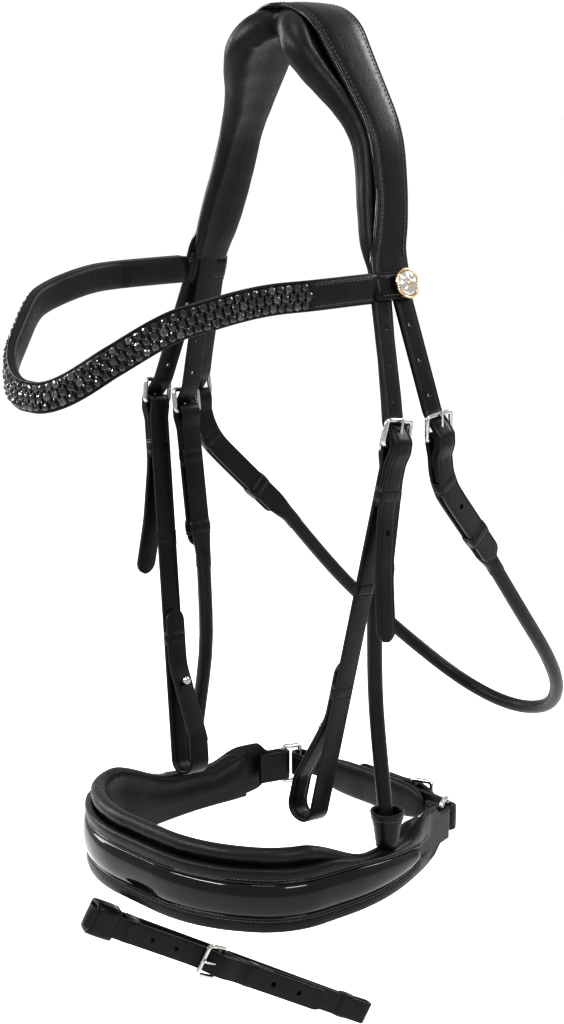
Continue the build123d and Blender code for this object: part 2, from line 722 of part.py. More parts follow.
def nose_band(inset, thickness, upper, lower):
    """Upright ring, open to the rear, trimmed to its side-view outline."""
    route = NOSE_ROUTE + [(-x, y) for x, y in reversed(NOSE_ROUTE)]
    radii = [radius - inset for radius in NOSE_RADII + NOSE_RADII[::-1]]
    with BuildPart() as strip:
        with BuildSketch(Plane.XY.offset(-520)):
            with BuildLine():
                FilletPolyline(*inset_route(route, -inset), radius=radii)
            trace(line_width=thickness)
        extrude(amount=100)
        with BuildSketch(Plane.YZ):
            with BuildLine():
                rounding = [0] + [10] * (len(upper) - 2) + [0, 0] + [10] * (len(lower) - 2) + [0]
                FilletPolyline(*upper, *reversed(lower), radius=rounding, close=True)
            make_face()
        extrude(amount=140, both=True, mode=Mode.INTERSECT)
    return strip


noseband_leather = nose_band(
    0, 3.0,
    [(-120, NOSE_TOP), (-45, NOSE_TOP - 1), (-8, DIP_Z), (20, DIP_Z), (42, -452), (75, -452)],
    [(-120, NOSE_BOTTOM), (-30, NOSE_BOTTOM + 1), (40, -486), (75, -482)],
)
# The band ends in a fold round the front bar of a metal square.
fold_along = (Vector(*NOSE_ROUTE[0]) - Vector(*NOSE_ROUTE[1])).normalized()
fold_in = Vector(-fold_along.Y, fold_along.X)
fold_offset = SQUARE_WIRE + LAYER_GAP + 1.5
fold_base = Vector(*NOSE_ROUTE[0])
square_front = fold_base + fold_along * 9 + fold_in * fold_offset
fold_route = [
    fold_base,
    fold_base + fold_along * (9 + fold_offset),
    fold_base + fold_along * (9 + fold_offset) + fold_in * 2 * fold_offset,
    fold_base + fold_along * (-6) + fold_in * 2 * fold_offset,
]
band_shape = noseband_leather.part
with BuildPart() as noseband_leather:
    add(band_shape)
    for side_name, side in SIDES:
        with BuildSketch(Plane.XY.offset(SQUARE_Z - 9.6)):
            with BuildLine():
                corners = [(point.X * side, point.Y) for point in fold_route]
                FilletPolyline(*corners, radius=fold_offset - 0.1)
            trace(line_width=3.0)
        extrude(amount=19.2)
finish(noseband_leather, "noseband_leather")

noseband_pad = nose_band(
    1.5 + LAYER_GAP + PAD_WALL / 2, PAD_WALL,
    [(-120, -443), (-60, -444), (-8, DIP_Z), (20, DIP_Z), (34, -455), (46, -455)],
    [(-120, NOSE_BOTTOM - 1), (-30, NOSE_BOTTOM), (34, -486), (46, -485)],
)
finish(noseband_pad, "noseband_pad")

noseband_patent = nose_band(
    -(1.5 + 0.1 + PATENT_WALL / 2), PATENT_WALL,
    [(-120, -461), (-30, -462), (20, -467), (36, -469)],
    [(-120, -482), (-30, -482), (20, -480), (36, -476)],
)
finish(noseband_patent, "noseband_patent")

with BuildPart() as collar:
    with BuildSketch(Plane.XZ):
        with BuildLine():
            Polyline(
                (0, -9.3), (6.8, -9.3), (6.8, -4), (9.8, 12), (7.9, 12), (4.9, -5.4), (0, -5.4),
                (0, -9.3),
            )
        make_face()
    revolve(axis=Axis.Z)
with BuildPart() as hanger_collars:
    for side_name, side in SIDES:
        with Locations((COLLAR[0] * side, COLLAR[1], COLLAR[2])):
            add(collar.part)
finish(hanger_collars, "hanger_collars")

square_along = Vector(-0.45, 0.89).normalized()
square_rear = square_front + square_along * SQUARE_DEPTH
with BuildPart() as crank_squares:
    for side_name, side in SIDES:
        along = Vector(square_along.X * side, square_along.Y, 0)
        front = Vector(square_front.X * side, square_front.Y, SQUARE_Z)
        square_plane = Plane(front, x_dir=along, z_dir=along.cross(Vector(0, 0, 1)))
        half = SQUARE_HEIGHT / 2
        with BuildLine(square_plane) as wire:
            corners = [(0, -half), (0, half), (SQUARE_DEPTH, half), (SQUARE_DEPTH, -half)]
            FilletPolyline(*corners, radius=2.0, close=True)
        with BuildSketch(Plane(wire.line @ 0, z_dir=wire.line % 0)):
            Circle(SQUARE_WIRE)
        sweep()
finish(crank_squares, "crank_squares")

# ================================================================ chin strap
# The chin strap loops round the rear bar of each square and crosses behind the jaw.
chin_fold = SQUARE_WIRE + CHIN_FOLD_GAP + CHIN_LEATHER / 2
chin_rear = square_rear.Y + chin_fold
chin_half = [
    (square_rear.X - 13, square_rear.Y - chin_fold),
    (square_rear.X + chin_fold, square_rear.Y - chin_fold),
    (square_rear.X + chin_fold, chin_rear),
    (30, chin_rear + CHIN_BOW),
]
with BuildPart() as chin_strap:
    with BuildSketch(Plane.XY.offset(SQUARE_Z - CHIN_WIDTH / 2)):
        with BuildLine():
            turn = chin_fold - 0.1
            corners = chin_half + [(-x, y) for x, y in reversed(chin_half)]
            FilletPolyline(*corners, radius=[turn, turn, 60, 60, turn, turn])
        trace(line_width=CHIN_LEATHER)
    extrude(amount=CHIN_WIDTH)
finish(chin_strap, "chin_strap")

chin_pad_y = chin_rear + CHIN_BOW - CHIN_LEATHER / 2 - 0.4 - CHIN_PAD_WALL / 2
with BuildPart() as chin_pad:
    with BuildSketch(Plane.XY.offset(SQUARE_Z - CHIN_PAD_HEIGHT / 2)):
        with BuildLine():
            FilletPolyline(
                (-46, chin_pad_y - 1.4), (-28, chin_pad_y), (28, chin_pad_y), (46, chin_pad_y - 1.4),
                radius=60,
            )
        trace(line_width=CHIN_PAD_WALL)
    extrude(amount=CHIN_PAD_HEIGHT)
finish(chin_pad, "chin_pad")

# The billet returns from the near square over the outside of the chin strap.
chin_face = chin_rear + CHIN_BOW + CHIN_LEATHER / 2
chin_station = strap_plane(
    (CHIN_BAR_X, chin_face + WIRE_RADIUS + FOLD_GAP + LEATHER + 0.4, SQUARE_Z), (-1, 0, 0), (0, 1, 0)
)
chin_billet = ribbon(
    profile(chin_station),
    [(-31, -4.8), (-22, -4.2), (-14.3, 0.4), (-3.8, 4.4), (0, 5.8), (3.4, 5.6), (10.5, billet_n),
     (52, billet_n)],
    [10, 8, 8, 5, 6, 10], LEATHER, STRAP_WIDTH - 0.6,
)
chin_billet = round_tip(chin_billet, straight_along(chin_station, 1, 52), STRAP_WIDTH - 0.6)
chin_billet = punch(chin_billet, chin_station, [28, 40], 1.4, open_slot=True)
finish(chin_billet, "chin_billet")
finish(buckle(chin_station), "chin_buckle")
finish(tongue(chin_station), "chin_tongue")
finish(chape(chin_station, ([(30, -layer)], [])), "chin_chape")
finish(keeper(chin_station, 20, stack_low, stack_high), "chin_keeper")

# ================================================================ flash strap
# A long flat loop: the billet leaves the tab, passes the buckle and lies on the
# front layer; the front layer turns at the far end and comes back behind.
flash_down = (Vector(*FLASH_END) - Vector(*TAB_CENTRE)).normalized()
flash_out = Vector(flash_down.Y, -flash_down.X, 0).normalized()
flash_bar = Vector(*TAB_CENTRE) + flash_down * FLASH_BAR_AT - flash_out * FLASH_BACK / 2
flash_station = strap_plane(flash_bar, flash_down, flash_out)
flash_turn = WIRE_RADIUS + FOLD_GAP + LEATHER / 2
flash_end = (Vector(*FLASH_END) - Vector(*TAB_CENTRE)).length - FLASH_BAR_AT
flash_route = [
    (34, layer), (10, layer), (3, flash_turn), (-flash_turn, flash_turn),
    (-flash_turn, -flash_turn), (3, -flash_turn), (10, -layer), (flash_end, -layer),
    (flash_end, -layer - 5.6), (flash_end - 22, -layer - 3.2),
    (-FLASH_BAR_AT + 20, FLASH_BACK), (-FLASH_BAR_AT - 9, FLASH_BACK),
    (-FLASH_BAR_AT - 9, 0.4), (-27, 0.2), (-14.3, 0.5), (-3.8, 4.4), (0, 5.8), (3.4, 5.6),
    (10.5, billet_n), (FLASH_TIP_AT, billet_n),
]
turn = flash_turn - 0.1
flash_radii = [8, 8, turn, turn, 8, 8, 2.6, 2.6, 20, 60, 5.0, 5.0, 40, 20, 8, 5, 6, 10]
flash_strap = ribbon(profile(flash_station), flash_route, flash_radii, LEATHER, STRAP_WIDTH - 0.6)
flash_strap = round_tip(
    flash_strap, straight_along(flash_station, 1, FLASH_TIP_AT), STRAP_WIDTH - 0.6, layer + LEATHER / 2
)
with BuildPart() as flash_punched:
    add(flash_strap.part)
    with BuildSketch(flash_station):
        with Locations((0, 2.5)):
            Rectangle(SLOT_WIDTH, 14)
    extrude(amount=9, mode=Mode.SUBTRACT)
    with BuildSketch(flash_station):
        Rectangle(SLOT_WIDTH, 9)
    extrude(amount=5, both=True, mode=Mode.SUBTRACT)
    for down in (-56, -38, 26, 46):
        with BuildSketch(straight_along(flash_station, 1, down).offset(-1.2)):
            Circle(1.4)
        extrude(amount=12, mode=Mode.SUBTRACT)
finish(flash_punched, "flash_strap")
finish(buckle(flash_station), "flash_buckle")
finish(tongue(flash_station), "flash_tongue")
flash_bands = [
    keeper(straight_along(flash_station, 1, 20), 0, stack_low, stack_high).part,
    keeper(straight_along(flash_station, 1, -61), 0, FLASH_BACK - LEATHER / 2 - 0.1, 1.5).part,
    keeper(
        straight_along(flash_station, 1, flash_end - 17), 0, -layer - LEATHER - 3.6,
        -layer + LEATHER / 2, play=RUNNER_PLAY,
    ).part,
]
with BuildPart() as flash_keepers:
    add(flash_bands)
finish(flash_keepers, "flash_keepers")

# The tab is a short belt loop sewn under the noseband, with room for the strap to swing.
TAB_WALL = 2.2
TAB_LENGTH = 16.0
with BuildPart() as flash_tab:
    with BuildSketch(section(straight_along(flash_station, 1, -FLASH_BAR_AT), -TAB_LENGTH / 2)):
        with Locations((0, FLASH_BACK / 2)):
            RectangleRounded(STRAP_WIDTH + 5 + 2 * TAB_WALL, 14.6 + 2 * TAB_WALL, 2.5)
            Rectangle(STRAP_WIDTH + 5, 14.6, mode=Mode.SUBTRACT)
    extrude(amount=TAB_LENGTH)
finish(flash_tab, "flash_tab")
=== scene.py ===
"""Looks of the snaffle bridle: leather straps with creased edges, stitching and punched
holes, padded crown and noseband, patent strip, faceted crystals and polished buckles.

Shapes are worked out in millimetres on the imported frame's own joints, and scaled when
a mesh is made. A station is a plane at a buckle's heel bar: x across the strap, y up it,
z away from the horse. A route is a list of places along a strap, each with its across
and outward directions.
"""

import json
import math
import random

import bmesh
import bpy
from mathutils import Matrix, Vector


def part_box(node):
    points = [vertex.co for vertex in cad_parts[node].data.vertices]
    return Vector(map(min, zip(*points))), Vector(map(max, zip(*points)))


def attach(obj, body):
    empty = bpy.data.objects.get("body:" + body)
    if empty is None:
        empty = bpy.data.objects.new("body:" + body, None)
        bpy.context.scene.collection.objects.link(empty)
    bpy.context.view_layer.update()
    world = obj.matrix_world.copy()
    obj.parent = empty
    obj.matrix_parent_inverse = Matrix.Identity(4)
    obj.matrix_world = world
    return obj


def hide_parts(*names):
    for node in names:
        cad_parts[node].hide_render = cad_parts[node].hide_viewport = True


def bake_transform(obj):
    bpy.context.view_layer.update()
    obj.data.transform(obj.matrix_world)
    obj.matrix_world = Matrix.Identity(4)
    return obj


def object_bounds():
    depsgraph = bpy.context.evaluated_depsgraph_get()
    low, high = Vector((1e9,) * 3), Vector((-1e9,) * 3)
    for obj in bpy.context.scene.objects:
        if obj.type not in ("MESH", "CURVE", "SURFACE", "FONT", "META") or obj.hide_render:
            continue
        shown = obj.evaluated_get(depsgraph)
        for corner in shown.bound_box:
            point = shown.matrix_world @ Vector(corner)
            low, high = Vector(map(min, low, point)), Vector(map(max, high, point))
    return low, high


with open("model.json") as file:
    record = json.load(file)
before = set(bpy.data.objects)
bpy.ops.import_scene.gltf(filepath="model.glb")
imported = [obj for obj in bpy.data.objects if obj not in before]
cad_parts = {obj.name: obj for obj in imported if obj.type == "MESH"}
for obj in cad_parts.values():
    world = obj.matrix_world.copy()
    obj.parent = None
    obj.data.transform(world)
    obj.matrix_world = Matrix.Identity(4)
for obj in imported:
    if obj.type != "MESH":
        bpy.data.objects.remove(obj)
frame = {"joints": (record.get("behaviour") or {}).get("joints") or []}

CAD_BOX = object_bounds()
MM = 0.001
SIDES = (("near", 1), ("far", -1))
JOINTS = {joint["name"]: joint for joint in frame["joints"]}
SEED = 11

# ---------------------------------------------------------------- driving sizes, mm
STRAP_WIDTH = 14.0
LEATHER = 2.2
CROWN_LEATHER = 2.6
ROLL_RADIUS = 4.4
KEEPER_WALL = 1.5
KEEPER_LENGTH = 9.0
WIRE_RADIUS = 1.4
FOLD_GAP = 0.6
TOE_REACH = 12.5
TOE_LIFT = 4.6
FRAME_HALF_WIDTH = 9.3
FRAME_CORNER = 2.2
LAYER = LEATHER / 2 + 0.15
BILLET_OUT = LAYER + LEATHER / 2 + 0.1 + CROWN_LEATHER / 2
FOLD_TURN = WIRE_RADIUS + FOLD_GAP + LEATHER / 2
FLAT_HALF = (STRAP_WIDTH - 0.4) / 2
FIXED_KEEPER_AT = 27.5
STACK_LOW = -LAYER - LEATHER / 2
STACK_HIGH = BILLET_OUT + CROWN_LEATHER / 2
UP = Vector((0, 0, 1))
STITCH_PITCH = 3.1
STITCH_LENGTH = 2.1
# Places along half a stitch, with the thread's share of full width and its lift there.
STITCH_SHAPE = ((-1, 0.3, -0.5), (-0.55, 0.85, 0.25), (0.55, 0.85, 0.25), (1, 0.3, -0.5))


def joint_place(name):
    """Position of a joint, in millimetres."""
    return Vector(JOINTS[name]["pos_m"]) / MM


def joint_axis(name):
    """Direction of a joint's axis or slide."""
    return Vector(JOINTS[name]["axis"]).normalized()


# ================================================================ camera
CAMERA_BEARING = math.radians(47.6)
CAMERA_PITCH = math.radians(12.2)
CAMERA_BACK = 1.118
CAMERA_RIGHT = 0.0035
CAMERA_HEIGHT = -0.036
CAMERA_LENS = 68.77
CAMERA_SENSOR = 36.0


def make_camera():
    """Camera at the photograph's bearing and height, in metres."""
    back = Vector((math.sin(CAMERA_BEARING), -math.cos(CAMERA_BEARING), 0))
    right = Vector((math.cos(CAMERA_BEARING), math.sin(CAMERA_BEARING), 0))
    data = bpy.data.cameras.new("camera")
    data.lens = CAMERA_LENS
    data.sensor_width = CAMERA_SENSOR
    data.clip_start = 0.01
    camera = bpy.data.objects.new("camera", data)
    bpy.context.scene.collection.objects.link(camera)
    camera.location = back * CAMERA_BACK + right * CAMERA_RIGHT + Vector((0, 0, CAMERA_HEIGHT))
    forward = -back * math.cos(CAMERA_PITCH) - Vector((0, 0, math.sin(CAMERA_PITCH)))
    camera.rotation_euler = forward.to_track_quat("-Z", "Y").to_euler()
    bpy.context.scene.camera = camera


make_camera()

# ================================================================ node materials


class Nodes:
    """Short calls for building one material's node tree."""

    def __init__(self, name):
        self.material = bpy.data.materials.new(name)
        self.material.use_nodes = True
        self.tree = self.material.node_tree
        self.shader = self.tree.nodes["Principled BSDF"]
        self.place = self.tree.nodes.new("ShaderNodeTexCoord").outputs["Object"]

    def link(self, output, socket):
        self.tree.links.new(output, socket)

    def noise(self, scale, detail=2.0, roughness=0.5, stretch=None):
        node = self.tree.nodes.new("ShaderNodeTexNoise")
        node.inputs["Scale"].default_value = scale
        node.inputs["Detail"].default_value = detail
        node.inputs["Roughness"].default_value = roughness
        self.link(self.stretched(stretch), node.inputs["Vector"])
        return node.outputs["Fac"]

    def cells(self, scale, feature="F1", stretch=None):
        node = self.tree.nodes.new("ShaderNodeTexVoronoi")
        node.feature = feature
        node.inputs["Scale"].default_value = scale
        self.link(self.stretched(stretch), node.inputs["Vector"])
        return node.outputs["Distance"]

    def stretched(self, stretch):
        if stretch is None:
            return self.place
        mapping = self.tree.nodes.new("ShaderNodeMapping")
        mapping.inputs["Scale"].default_value = stretch
        self.link(self.place, mapping.inputs["Vector"])
        return mapping.outputs["Vector"]

    def ramp(self, source, stops):
        node = self.tree.nodes.new("ShaderNodeValToRGB")
        ramp = node.color_ramp
        while len(ramp.elements) < len(stops):
            ramp.elements.new(0.5)
        for element, (position, colour) in zip(ramp.elements, stops):
            element.position = position
            element.color = colour if hasattr(colour, "__len__") else (colour, colour, colour, 1)
        self.link(source, node.inputs["Fac"])
        return node.outputs["Color"]

    def spread(self, source, low, high, source_low=0.25, source_high=0.75):
        node = self.tree.nodes.new("ShaderNodeMapRange")
        node.inputs["From Min"].default_value = source_low
        node.inputs["From Max"].default_value = source_high
        node.inputs["To Min"].default_value = low
        node.inputs["To Max"].default_value = high
        self.link(source, node.inputs["Value"])
        return node.outputs["Result"]

    def bump(self, height, distance, strength, below=None):
        node = self.tree.nodes.new("ShaderNodeBump")
        node.inputs["Distance"].default_value = distance
        node.inputs["Strength"].default_value = strength
        self.link(height, node.inputs["Height"])
        if below is not None:
            self.link(below, node.inputs["Normal"])
        return node.outputs["Normal"]

    def finish(self, colour=None, roughness=None, normal=None):
        if colour is not None:
            self.link(colour, self.shader.inputs["Base Color"])
        if roughness is not None:
            self.link(roughness, self.shader.inputs["Roughness"])
        if normal is not None:
            self.link(normal, self.shader.inputs["Normal"])
        return self.material


def grey(value, warm=0.0):
    """Grey colour, a little redder than blue where warm is above 0."""
    return (value * (1 + warm), value, value * (1 - warm), 1)


def leather_material(name, tone, gloss, pore_scale, pore_depth, wrinkle=0.4):
    """Dyed leather: pebbled grain, pores, long soft creases and slightly uneven dye."""
    nodes = Nodes(name)
    grain = nodes.cells(pore_scale, "SMOOTH_F1")
    pores = nodes.cells(pore_scale * 2.6)
    wrinkles = nodes.noise(230, 4, 0.6, stretch=(1, 1, 0.35))
    tint = nodes.noise(55, 3)
    colour = nodes.ramp(tint, [(0.3, grey(tone * 0.72, 0.01)), (0.7, grey(tone * 1.35, 0.02))])
    roughness = nodes.spread(nodes.noise(420, 3), gloss - 0.06, gloss + 0.1)
    normal = nodes.bump(wrinkles, 0.00035, wrinkle)
    normal = nodes.bump(pores, 0.00008, pore_depth * 0.7, normal)
    normal = nodes.bump(grain, 0.00016, pore_depth, normal)
    nodes.shader.inputs["Specular IOR Level"].default_value = 0.16
    return nodes.finish(colour, roughness, normal)


def patent_material():
    """Lacquered leather: nearly black, glassy, with a faint ripple."""
    nodes = Nodes("patent_leather")
    ripple = nodes.noise(85, 2)
    colour = nodes.ramp(nodes.noise(40), [(0.3, grey(0.002)), (0.7, grey(0.004))])
    roughness = nodes.spread(nodes.noise(900, 2), 0.05, 0.12)
    nodes.shader.inputs["Specular IOR Level"].default_value = 0.26
    return nodes.finish(colour, roughness, nodes.bump(ripple, 0.0006, 0.25))


def thread_material_painted_sheen():
    """Waxed black thread, twisted; its grey, lighter than the leather, is painted sheen for the
    glint of the seams.
    """
    nodes = Nodes("thread")
    twist = nodes.noise(2600, 2)
    # painted sheen: the grey thread tone, lighter than the black leather, stands in for the glint of
    # the seams
    colour = nodes.ramp(nodes.noise(300), [(0.3, grey(0.02)), (0.7, grey(0.055))])
    roughness = nodes.spread(twist, 0.4, 0.62)
    return nodes.finish(colour, roughness, nodes.bump(twist, 0.00012, 0.8))


def metal_material(name, tone, warm, roughness):
    """Polished metal with fine scratches, slightly dulled in patches."""
    nodes = Nodes(name)
    scratches = nodes.noise(900, 4, 0.7, stretch=(1, 6, 1))
    smudges = nodes.noise(160, 3)
    colour = nodes.ramp(smudges, [(0.3, grey(tone * 0.82, warm)), (0.7, grey(tone, warm))])
    nodes.shader.inputs["Metallic"].default_value = 1.0
    rough = nodes.spread(scratches, roughness - 0.06, roughness + 0.1)
    return nodes.finish(colour, rough, nodes.bump(scratches, 0.00003, 0.35))


def crystal_material(name, tone):
    """Jet glass: dark body, mirror-bright facets."""
    nodes = Nodes(name)
    body = nodes.ramp(nodes.noise(700), [(0.35, grey(tone * 0.5)), (0.65, grey(tone * 1.6))])
    roughness = nodes.spread(nodes.noise(1500), 0.015, 0.05)
    nodes.shader.inputs["IOR"].default_value = 1.6
    nodes.shader.inputs["Specular IOR Level"].default_value = 0.45
    return nodes.finish(body, roughness, nodes.bump(nodes.noise(600), 0.00004, 0.1))


STRAP = leather_material("bridle_leather", 0.004, 0.34, 1500, 0.22)
EDGE = leather_material("burnished_edge", 0.0035, 0.27, 900, 0.1, 0.2)
SOFT = leather_material("padding_leather", 0.005, 0.36, 1100, 0.34, 0.75)
ROLLED = leather_material("rolled_leather", 0.005, 0.34, 1300, 0.28, 0.3)
PATENT = patent_material()
THREAD = thread_material_painted_sheen()
STEEL = metal_material("polished_steel", 0.42, 0.03, 0.2)
BRASS = metal_material("badge_gold", 0.4, 0.34, 0.22)
SILVER = metal_material("badge_silver", 0.5, 0.05, 0.2)
JET = crystal_material("jet_crystal", 0.004)
SMOKE = crystal_material("smoke_crystal", 0.03)

# ================================================================ mesh helpers


def make_piece(name, vertices, faces, materials, smooth=True, face_materials=None):
    """New mesh object from millimetre coordinates."""
    mesh = bpy.data.meshes.new(name)
    mesh.from_pydata([Vector(v) * MM for v in vertices], [], faces)
    for material in materials:
        mesh.materials.append(material)
    if smooth:
        mesh.shade_smooth()
    if face_materials is not None:
        mesh.polygons.foreach_set("material_index", face_materials)
    work = bmesh.new()
    work.from_mesh(mesh)
    bmesh.ops.recalc_face_normals(work, faces=work.faces)
    work.to_mesh(mesh)
    work.free()
    mesh.update()
    piece = bpy.data.objects.new(name, mesh)
    bpy.context.scene.collection.objects.link(piece)
    return piece


class Mesh:
    """Grows one mesh out of several parts, each with a material."""

    def __init__(self):
        self.vertices = []
        self.faces = []
        self.face_materials = []

    def add(self, vertices, faces, material=0):
        base = len(self.vertices)
        self.vertices += vertices
        self.faces += [[index + base for index in face] for face in faces]
        self.face_materials += [material] * len(faces)

    def piece(self, name, materials, smooth=True):
        return make_piece(name, self.vertices, self.faces, materials, smooth, self.face_materials)


def plane(origin, down, outward):
    """Station: an origin with x across the strap, y up it and z outward."""
    up = -Vector(down).normalized()
    out = Vector(outward)
    out = (out - up * out.dot(up)).normalized()
    return {"o": Vector(origin), "x": up.cross(out), "y": up, "z": out}


def on(st, down, out=0.0, across=0.0):
    """Point at a distance down a strap, outward and across it."""
    return st["o"] - st["y"] * down + st["z"] * out + st["x"] * across


def on_arc(centre, start, stop, share):
    """Point on the round of a corner, at a share of the way from start to stop."""
    first = start - centre
    turned = first.slerp(stop - centre, share)
    return centre + turned.normalized() * first.length


def rounded(points, radii, step=2.5, fine=9.0):
    """Plane route with its corners rounded, as close points, one for each few degrees."""
    points = [Vector(p) for p in points]
    if not hasattr(radii, "__len__"):
        radii = [radii] * (len(points) - 2)
    path = [points[0]]
    for before, here, after, radius in zip(points, points[1:], points[2:], radii):
        inward = (before - here).normalized()
        onward = (after - here).normalized()
        turn = math.pi - inward.angle(onward)
        if turn < 0.01 or radius < 0.05:
            path.append(here)
            continue
        reach = radius * math.tan(turn / 2)
        start = here + inward * reach
        stop = here + onward * reach
        centre = here + (inward + onward).normalized() * (radius / math.cos(turn / 2))
        count = max(3, int(math.degrees(turn) / fine))
        for index in range(count + 1):
            path.append(on_arc(centre, start, stop, index / count))
    path.append(points[-1])
    return thin(path, step)


def thin(path, step):
    """The same path with doubled points dropped and long runs divided."""
    close = [path[0]]
    for point in path[1:]:
        run = (point - close[-1]).length
        if run < 0.02:
            continue
        pieces = max(1, int(run / step))
        start = close[-1]
        for index in range(1, pieces + 1):
            close.append(start.lerp(point, index / pieces))
    return close


def lengths(path):
    """Distance along a path to each of its points."""
    run = [0.0]
    for before, after in zip(path, path[1:]):
        run.append(run[-1] + (after - before).length)
    return run


def headings(path, closed=False):
    """Unit direction of a path at each of its points."""
    last = len(path) - 1
    directions = []
    for index in range(len(path)):
        if closed:
            run = path[(index + 1) % len(path)] - path[index - 1]
        else:
            run = path[min(index + 1, last)] - path[max(index - 1, 0)]
        directions.append(run.normalized())
    return directions


def squared(vector, along):
    """A direction made square to another."""
    return (vector - along * vector.dot(along)).normalized()


def framed(place, across, along):
    """Row of a route: a place with the across and outward directions of the strap there."""
    across = squared(across, along)
    return place, across, across.cross(along * -1).normalized()


def distance_to(places, point):
    """Distance along a route to the place nearest to a point."""
    nearest = min(range(len(places)), key=lambda i: (places[i] - point).length)
    return lengths(places)[nearest]


def rounded_loop(corners, radius, turn_steps, side_steps):
    """Closed loop of four corners, each one rounded."""
    path = []
    for index, corner in enumerate(corners):
        onward = corners[(index + 1) % 4]
        before = (corners[index - 1] - corner).normalized()
        after = (onward - corner).normalized()
        start = corner + before * radius
        stop = corner + after * radius
        centre = start + after * radius
        path += [on_arc(centre, start, stop, k / turn_steps) for k in range(turn_steps + 1)]
        far = onward - after * radius
        path += [stop.lerp(far, k / side_steps) for k in range(1, side_steps)]
    return path


def curve_value(table, at):
    """Smooth curve through a table of (place, value)."""
    if at <= table[0][0]:
        return table[0][1]
    if at >= table[-1][0]:
        return table[-1][1]
    index = max(i for i, row in enumerate(table[:-1]) if row[0] <= at)
    x0, y0 = table[index]
    x1, y1 = table[index + 1]

    def slope(i):
        if i <= 0 or i >= len(table) - 1:
            return 0.0
        left = (table[i][1] - table[i - 1][1]) / (table[i][0] - table[i - 1][0])
        right = (table[i + 1][1] - table[i][1]) / (table[i + 1][0] - table[i][0])
        return 0.0 if left * right <= 0 else 2 * left * right / (left + right)

    span = x1 - x0
    t = (at - x0) / span
    return (
        y0 * (2 * t**3 - 3 * t**2 + 1) + y1 * (3 * t**2 - 2 * t**3)
        + slope(index) * span * (t**3 - 2 * t**2 + t) + slope(index + 1) * span * (t**3 - t**2)
    )


def profile_route(st, points, radii, step=2.5):
    """Route of a strap from its side profile on a station: x down, y outward."""
    flat = rounded([(x, y) for x, y in points], radii, step)
    places = [on(st, p.x, p.y) for p in flat]
    return [
        (place, st["x"], direction_normal(places, i, st["x"])) for i, place in enumerate(places)
    ]


def direction_normal(places, index, across):
    """Normal of a path at one point, at right angles to the across direction."""
    before = places[max(index - 1, 0)]
    after = places[min(index + 1, len(places) - 1)]
    return (after - before).cross(across).normalized() * -1


def strap_section(half, thick, crease=1.5, dome=0.12):
    """Cross-section of a creased strap, as (across, out) points and the material of each edge."""
    t = thick / 2
    r = min(0.62, t * 0.75, half * 0.2)
    top = []
    for k in range(4):
        angle = math.radians(k * 30)
        top.append((half - r + r * math.cos(angle), t - r + r * math.sin(angle)))
    if crease:
        at = min(crease, half * 0.4)
        deep = 0.24 * at / crease
        top += [(half - at * 0.77, t), (half - at, t - deep), (half - at * 1.27, t + dome * 0.3)]
    top += [(half * 0.4, t + dome), (0, t + dome * 1.15)]
    upper = top + [(-u, v) for u, v in reversed(top[:-1])]
    bottom = []
    for k in range(4):
        angle = math.radians(180 + k * 30)
        bottom.append((-half + r + r * math.cos(angle), -t + r + r * math.sin(angle)))
    bottom.append((0, -t))
    return upper + bottom + [(-u, v) for u, v in reversed(bottom[:-1])]


def sweep(mesh, route, sections, material=0, closed=False):
    """Skin a cross-section along a route. sections is one list or one for each place."""
    each = sections if isinstance(sections[0][0], (list, tuple)) else [sections] * len(route)
    count = len(each[0])
    vertices = []
    for (place, across, out), section in zip(route, each):
        vertices += [place + across * u + out * v for u, v in section]
    faces = []
    rings = len(route)
    for ring in range(rings if closed else rings - 1):
        here = ring * count
        there = ((ring + 1) % rings) * count
        for k in range(count):
            after = (k + 1) % count
            faces.append([here + k, here + after, there + after, there + k])
    if not closed:
        faces.append(list(range(count))[::-1])
        faces.append([(rings - 1) * count + k for k in range(count)])
    mesh.add(vertices, faces, material)


def tip_widths(route, half, round_start=False, round_end=True):
    """Half widths along a route, rounded off at its ends."""
    run = lengths([row[0] for row in route])
    widths = []
    for at in run:
        width = half
        reach = half * 1.1
        if round_end and run[-1] - at < reach:
            short = (reach - (run[-1] - at)) / reach
            width = half * math.sqrt(max(0.03, 1 - short * short))
        if round_start and at < reach:
            short = (reach - at) / reach
            width = half * math.sqrt(max(0.03, 1 - short * short))
        widths.append(width)
    return widths


def end_steps(route, reach=8.0, pieces=10):
    """Closer places over the last stretch of a route, so that a round tip is round."""
    run = lengths([row[0] for row in route])
    keep = [row for row, at in zip(route, run) if at < run[-1] - reach]
    start = keep[-1]
    stop = route[-1]
    for index in range(1, pieces + 1):
        share = math.sin(index / pieces * math.pi / 2)
        keep.append((start[0].lerp(stop[0], share), stop[1], stop[2]))
    return keep


def stitches(mesh, route, inset_widths, out, pitch=STITCH_PITCH, skip=0.0, thickness=0.3):
    """A row of short thread humps along a route at a distance across it."""
    places = [p + a * w + n * out for (p, a, n), w in zip(route, inset_widths)]
    run = lengths(places)
    at = skip + pitch / 2
    index = 0
    while at < run[-1] - skip:
        while run[index + 1] < at:
            index += 1
        share = (at - run[index]) / max(run[index + 1] - run[index], 1e-6)
        centre = places[index].lerp(places[index + 1], share)
        along = (places[index + 1] - places[index]).normalized()
        normal = route[index][2]
        side = along.cross(normal).normalized()
        add_stitch(mesh, centre, along, side, normal, thickness)
        at += pitch


